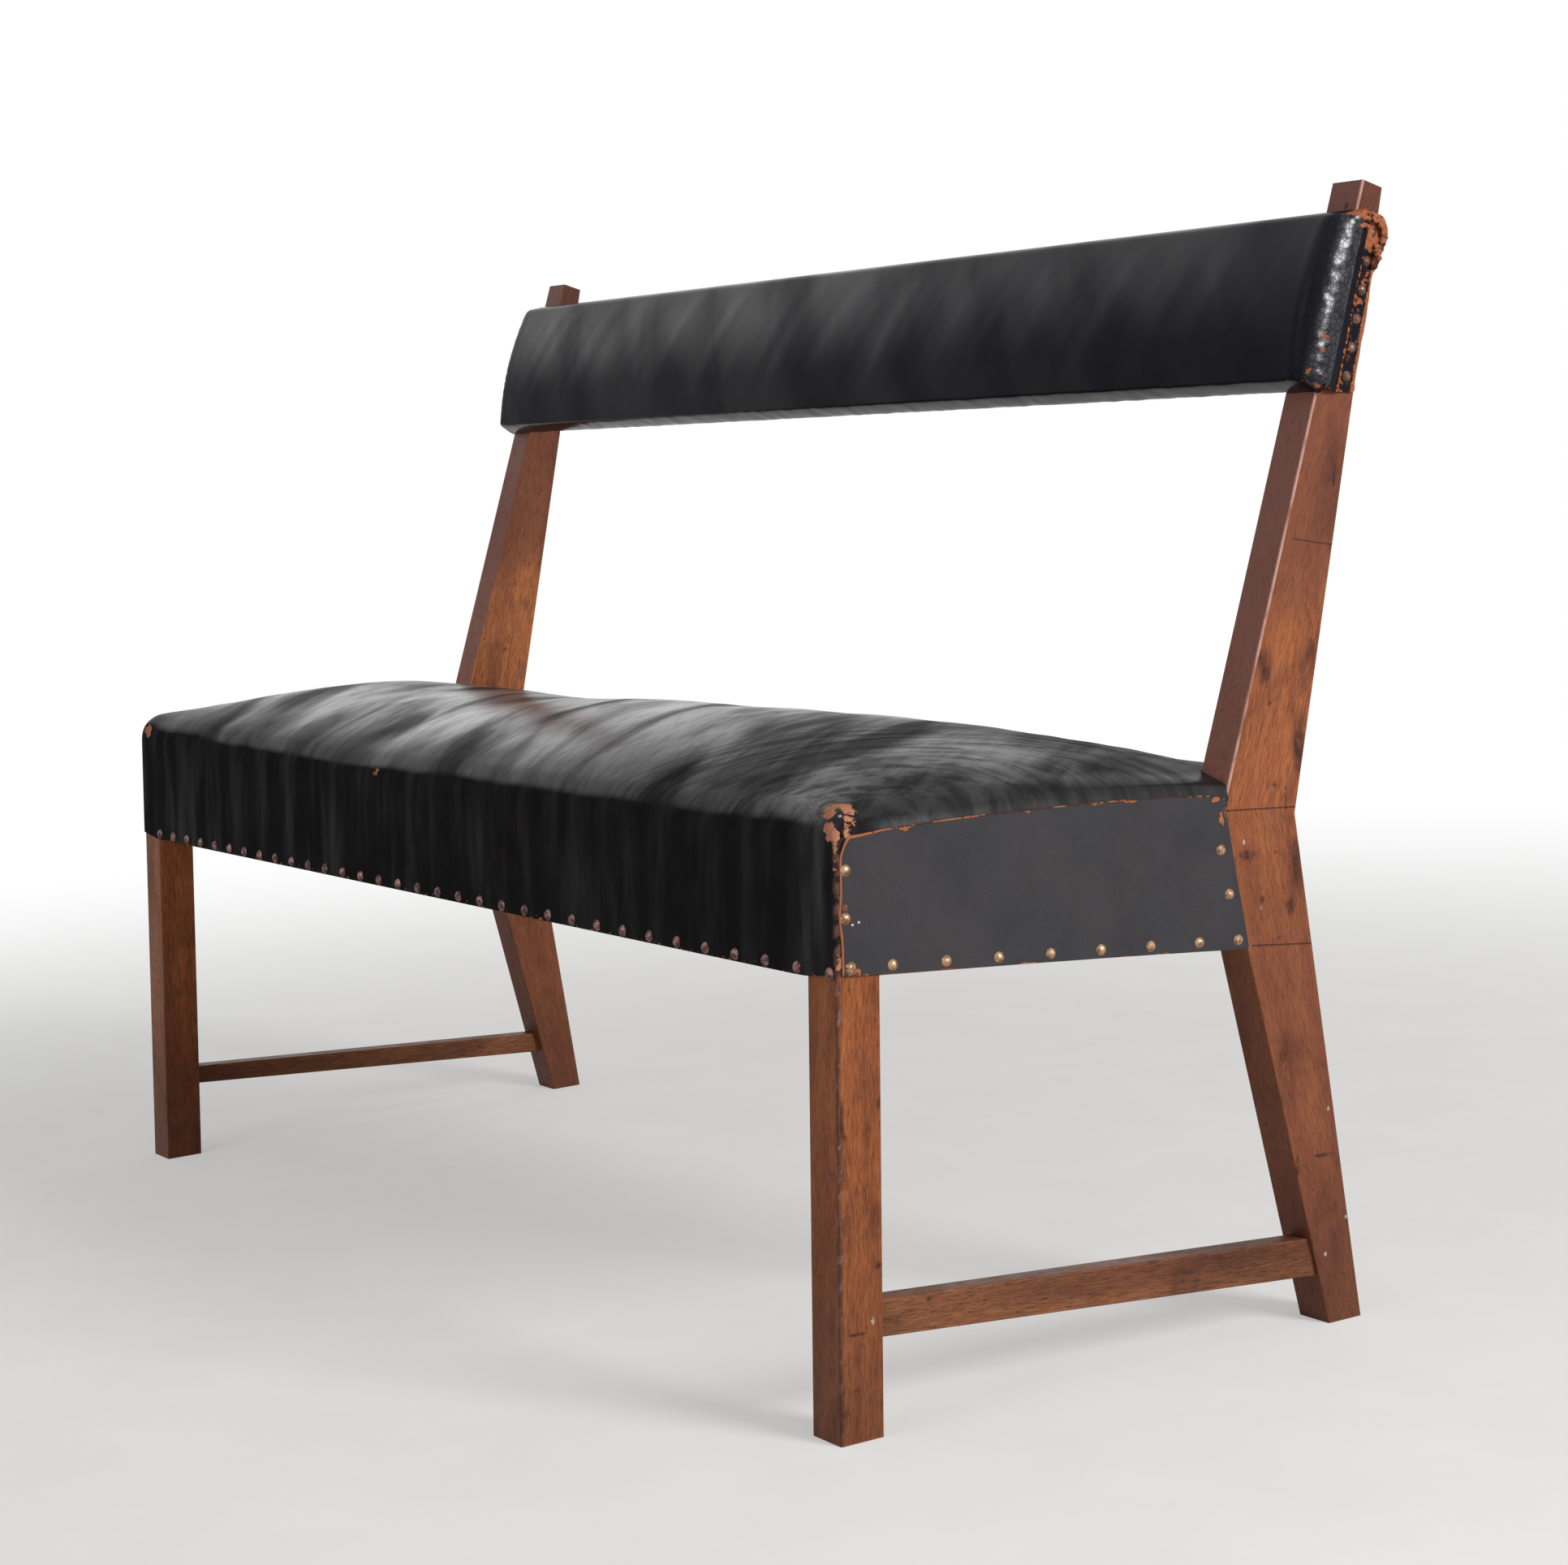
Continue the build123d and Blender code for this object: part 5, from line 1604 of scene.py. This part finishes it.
def pad_wear(point):
    x, forward, up = measure_pad(point)
    share = -forward / flap_edge(up)
    strip = 0.0
    if abs(x) > 660.5 and share > 0.0:
        ridge = max(0.54 * ease(abs(share - 0.50), 0.07, 0.02), 0.9 * ease(share, 0.90, 0.95))
        groove = 0.34 + 0.40 * noise.noise(Vector((up / 6, share * 5, 0.3)))
        strip = max(ridge, groove * ease(share, 0.47, 0.54))
        strip = max(strip, 0.90 * ease(up, 112, 124) * ease(share, 0.36, 0.46))
    corner = 0.8 * ease(abs(x), 661, 665) * ease(up, 134, 141)
    low_corner = 0.42 * ease(abs(x), 657, 663) * ease(up, 7, 2)
    bite = worn_places(PAD_BITES, abs(x), forward, up)
    fray = (0.28 + 0.5 * noise.noise(Vector((x / 16, 0, 3)))) * ease(up, 4, 1) * ease(x, 350, 600)
    return max(strip, corner, low_corner, bite, fray * ease(forward, 12, 20))


paint_wear(pad, pad_wear)
thicken(pad, LEATHER - PLAY, pad_leather, raw_edge)
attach(pad, "root")
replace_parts(pad, "back_cover", "back_stuffing")
print("back leather:", len(pad.data.polygons), "faces")

# %% [markdown]
# At the top of each end the torn leather is bunched into a few lumpy strands. Each is a tube
# like the seam's bead, but thicker, along a line of measured points over the corner.

# %% Torn strands at the ends of the back rail
TORN_STRANDS = [  # along, forward and up at each point, and the strand's half thickness
    [(660, 4, 142, 1.4), (665, -3, 144, 2.4), (668, -12, 144.5, 2.8), (667, -20, 143.5, 3.0),
     (665.5, -27, 139, 3.2), (664, -31, 132, 2.2)],
    [(663, 5, 136, 1.2), (668, -2, 139.5, 2.2), (669.5, -10, 141, 2.2), (668, -18, 141, 1.9),
     (666, -25, 137, 2.2), (664, -28, 130, 1.4)],
    [(664.5, -22, 124, 1.6), (665.5, -25, 122, 3.0), (665.5, -26, 115, 3.8), (664.5, -26, 108, 3.0),
     (663.5, -25, 101, 1.2)],
    [(663, 6, 128, 1.0), (669, 0, 132, 1.6), (670, -5, 134, 1.8), (668, -10, 133, 1.2)],
    [(664, -28, 139, 2.2), (664.5, -29.5, 131, 3.0), (664, -29, 122, 2.8), (663, -27.5, 111, 1.2)],
]


def strand(name, stations, count=30):
    """A lumpy tube through measured stations."""
    tracks = [[(k, s[c]) for k, s in enumerate(stations)] for c in range(4)]
    steps = [(len(stations) - 1) * k / (count - 1) for k in range(count)]
    line = [[smooth_through(track, step) for track in tracks[:3]] for step in steps]

    def radius(k):
        lump = 1 + 0.35 * noise.noise(Vector((k / 2.2, len(stations), 1.0)))
        return smooth_through(tracks[3], steps[k]) * lump

    piece = bead(name, line, radius, raw_edge, sides=12, place=on_pad)
    add_modifier(piece, "SUBSURF", levels=1, render_levels=1)
    push_out(piece, lambda point: 0.9 * noise.noise(point * 260) + 0.5 * noise.noise(point * 620))
    return piece


def strand_wear(point):
    return 0.60 + 0.55 * noise.noise(point * 210)


for k, stations in enumerate(TORN_STRANDS, start=1):
    right = strand(f"torn_strand_right_{k}", stations)
    paint_wear(right, strand_wear)
    for piece in (right, mirrored(right, f"torn_strand_left_{k}")):
        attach(piece, "root")
print("torn strands:", len(TORN_STRANDS), "at each end")

# %% [markdown]
# ## Under the seat
# Webbing straps cross the frame and carry the hessian, on which the stuffing lies. They are
# hidden from in front and seen from below. Each strap is a woven band. One cross strap is made,
# slightly cupped, and the others are copies of it. The long straps pass over and under them, each
# starting the other way from the one beside it, so they are laid one by one. The weave itself is
# far finer than the mesh, so it is a pattern of crossing threads in the material.

# %% Effect: woven cloth
woven, taken, given = shader_group(
    "woven cloth",
    {
        "Place": (0, 0, 0), "Threads": 500.0,
        "Thread Colour": srgb(176, 150, 112), "Gap Colour": srgb(86, 66, 44),
    },
    {"Color": "Color", "Height": "Float"},
)
tree = woven
scaled = put(
    tree, "VectorMath", {0: taken["Place"], "Scale": taken["Threads"]}, operation="SCALE",
).outputs[0]
parts = apart(tree, scaled)
warp = sums(tree, "ABSOLUTE", sums(tree, "SINE", sums(tree, "MULTIPLY", parts[0], math.pi)))
weft = sums(tree, "ABSOLUTE", sums(tree, "SINE", sums(tree, "MULTIPLY", parts[1], math.pi)))
over = put(tree, "TexChecker", {"Vector": scaled, "Scale": 1.0}).outputs["Fac"]
warp_seen = sums(tree, "MULTIPLY", warp, over)
weft_seen = sums(tree, "MULTIPLY", weft, sums(tree, "SUBTRACT", 1.0, over))
crossing = sums(tree, "ADD", warp_seen, weft_seen)
thread = sums(tree, "MULTIPLY", crossing, sums(tree, "MAXIMUM", warp, weft))
uneven = mottle(tree, taken["Place"], 160, 4, 0.6)
shade = sums(tree, "MULTIPLY", span(tree, thread, 0.1, 0.9), span(tree, uneven, 0.25, 0.7, 0.6, 1))
tree.links.new(mixed(tree, shade, taken["Gap Colour"], taken["Thread Colour"]), given["Color"])
tree.links.new(thread, given["Height"])
print("woven cloth:", len(woven.nodes), "nodes")

# %% Finishes: webbing and hessian
def woven_finish(name, threads, thread_colour, gap_colour):
    material, tree, shader = new_finish(name, Specular_IOR_Level=0.1, Roughness=0.9)
    place = find_place(tree)
    cloth = place_group(
        tree, woven, Place=place, Threads=threads, Thread_Colour=thread_colour,
        Gap_Colour=gap_colour,
    )
    grime = span(tree, mottle(tree, place, 11, 4, 0.6), 0.4, 0.75, 0, 0.5)
    colour = mixed(tree, grime, cloth["Color"], gap_colour)
    wire(tree, shader, cloth["Height"], 0.0006, Base_Color=colour)
    return material


jute = woven_finish("jute webbing", 420, srgb(182, 154, 112), srgb(92, 70, 44))
sacking = woven_finish("hessian sacking", 650, srgb(190, 160, 116), srgb(84, 62, 40))
print("woven finishes ready")

# %% Hessian
HESSIAN_HEIGHT = 439.8
HESSIAN_HALF = 652.0         # half its length
HESSIAN_FRONT = 7.0
HESSIAN_DEPTH = 420.0
HESSIAN_CORNER = (622.0, 356.0)    # it is cut back from here, clear of the posts
HESSIAN_COLUMNS = 109
HESSIAN_ROWS = 35


def hessian_spot(i, j):
    x = -HESSIAN_HALF + 2 * HESSIAN_HALF * i / (HESSIAN_COLUMNS - 1)
    y = HESSIAN_FRONT + HESSIAN_DEPTH * j / (HESSIAN_ROWS - 1)
    if abs(x) > HESSIAN_CORNER[0] and y > HESSIAN_CORNER[1]:
        rear = HESSIAN_FRONT + HESSIAN_DEPTH
        y = HESSIAN_CORNER[1] - 0.2 * (rear - y) / (rear - HESSIAN_CORNER[1])
    sag = 0.45 * noise.noise(Vector((x / 70, y / 70, 6.6)))
    return stand(x, y, HESSIAN_HEIGHT + sag)


hessian = lay_grid("hessian_cloth", HESSIAN_COLUMNS, HESSIAN_ROWS, hessian_spot)
tidy_mesh(hessian, 0.0003)
hessian.data.materials.append(sacking)
add_modifier(hessian, "SOLIDIFY", thickness=0.0008, offset=0.0)
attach(hessian, "root")
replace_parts(hessian, "hessian")
print("hessian:", len(hessian.data.polygons), "faces")

# %% Cross straps
RAIL_TOP = 436.0
STRAP = 50.0                 # width of a strap
STRAP_THICK = 1.4
STRAP_MIDDLE = RAIL_TOP + 0.75
STRAP_FACES = 8              # faces across a strap
CROSS_PLACES = [-540 + 120 * k for k in range(10)]
CROSS_FRONT = 3.0
CROSS_RUN = 425.0
CROSS_FACES = 60             # faces along it


def cross_spot(i, j):
    x = CROSS_PLACES[0] - STRAP / 2 + STRAP * i / STRAP_FACES
    y = CROSS_FRONT + CROSS_RUN * j / CROSS_FACES
    cup = 0.25 * math.cos(math.pi * (i / STRAP_FACES - 0.5))
    return stand(x, y, STRAP_MIDDLE - cup * ease(y, 25, 60) * ease(y, 400, 370))


def finish_strap(strap):
    strap.data.materials.append(jute)
    add_modifier(strap, "SOLIDIFY", thickness=STRAP_THICK / 1000, offset=0.0)
    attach(strap, "root")


first = lay_grid("cross_strap_01", STRAP_FACES + 1, CROSS_FACES + 1, cross_spot)
finish_strap(first)
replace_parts(first, "webbing_cross")
for k, x in enumerate(CROSS_PLACES[1:], start=2):
    activate(first)
    bpy.ops.object.duplicate()
    strap = bpy.context.object
    strap.name = strap.data.name = f"cross_strap_{k:02d}"
    for vertex in strap.data.vertices:
        vertex.co.x += (x - CROSS_PLACES[0]) / 1000
    # A copy also has its original's marks, but only the first strap stands for the CAD node.
    if "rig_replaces" in strap:
        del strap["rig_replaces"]
print(len(CROSS_PLACES), "cross straps of", len(first.data.polygons), "faces")

# %% Long straps
LONG_PLACES = (115, 215, 315)
LONG_HALF = 657.0            # half the length of a long strap
LONG_FACES = 220
WEAVE = 1.5                  # how far it passes over or under a cross strap


def long_height(x, row):
    """A long strap lies over one cross strap and under the next."""
    level = 0.0
    for k, centre in enumerate(CROSS_PLACES):
        near = ease(abs(x - centre), STRAP / 2 + 34, STRAP / 2 + 4)
        level += near * (WEAVE if (k + row) % 2 == 0 else -WEAVE)
    return STRAP_MIDDLE + level


for row, y in enumerate(LONG_PLACES):
    def long_spot(i, j, row=row, y=y):
        x = -LONG_HALF + 2 * LONG_HALF * i / LONG_FACES
        return stand(x, y - STRAP / 2 + STRAP * j / STRAP_FACES, long_height(x, row))

    strap = lay_grid(f"long_strap_{row + 1}", LONG_FACES + 1, STRAP_FACES + 1, long_spot)
    finish_strap(strap)
    if row == 0:
        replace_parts(strap, "webbing_long")
print(len(LONG_PLACES), "long straps of", len(strap.data.polygons), "faces")

# %% [markdown]
# ## Floor and light
# The object stands on a plain pale floor that keeps its shadow and turns to white with distance.
# The camera, and anything that mirrors, sees a white world. The lamps are large, so their
# light is soft: a strong one at the right lights the side, and a weaker one in front fills.

# %% Floor
def seen_directly(tree):
    """1 for rays from the camera, off a mirror or through glass, and 0 for those that light."""
    rays = put(tree, "LightPath").outputs
    seen = sums(tree, "MAXIMUM", rays["Is Camera Ray"], rays["Is Glossy Ray"])
    return sums(tree, "MAXIMUM", seen, rays["Is Transmission Ray"])


bpy.ops.object.select_all(action="DESELECT")
bpy.ops.mesh.primitive_grid_add(x_subdivisions=8, y_subdivisions=8, size=60, location=(0, 0, 0))
floor = bpy.context.object
floor.name = "floor"
floor_finish, tree, shader = new_finish("pale floor", Roughness=0.9, Specular_IOR_Level=0.0)
place = object_place(tree)
speckle = mottle(tree, place, 7, 4, 0.6)
colour = mixed(tree, span(tree, speckle, 0.3, 0.7), srgb(232, 230, 227), srgb(226, 224, 220))
wire(tree, shader, Base_Color=colour)
away = put(tree, "VectorMath", {0: place}, operation="LENGTH").outputs["Value"]
far = span(tree, away, 0.9, 3.0, 0.38, 1.0)
white = put(tree, "Emission", {"Color": (1, 1, 1, 1), "Strength": 1.0})
blend = put(tree, "MixShader", {0: sums(tree, "MULTIPLY", far, seen_directly(tree))})
tree.links.new(shader.outputs[0], blend.inputs[1])
tree.links.new(white.outputs[0], blend.inputs[2])
tree.links.new(blend.outputs[0], tree.nodes["Material Output"].inputs["Surface"])
floor.data.materials.append(floor_finish)
print("floor:", [round(side, 1) for side in floor.dimensions[:2]], "m")

# %% World and lamps
world = bpy.data.worlds.new("studio")
bpy.context.scene.world = world
world.use_nodes = True
tree = world.node_tree
strength = span(tree, seen_directly(tree), 0, 1, 0.32, 1.0)
background = tree.nodes["Background"]
background.inputs["Color"].default_value = (1, 1, 1, 1)
tree.links.new(strength, background.inputs["Strength"])


def add_lamp(name, place, aim, size, watts):
    data = bpy.data.lights.new(name, "AREA")
    data.shape = "DISK"
    data.size = size
    data.energy = watts
    lamp = bpy.data.objects.new(name, data)
    bpy.context.scene.collection.objects.link(lamp)
    lamp.location = place
    lamp.rotation_euler = (Vector(aim) - Vector(place)).to_track_quat("-Z", "Y").to_euler()


add_lamp("key", (4.5, 1.2, 2.3), (0.2, 0.0, 0.5), 1.8, 180)
add_lamp("front fill", (0.6, -4.0, 2.6), (0.0, 0.0, 0.4), 2.2, 26)
bpy.context.scene.view_settings.view_transform = "Standard"
print("world and", len(bpy.data.lights), "lamps ready")
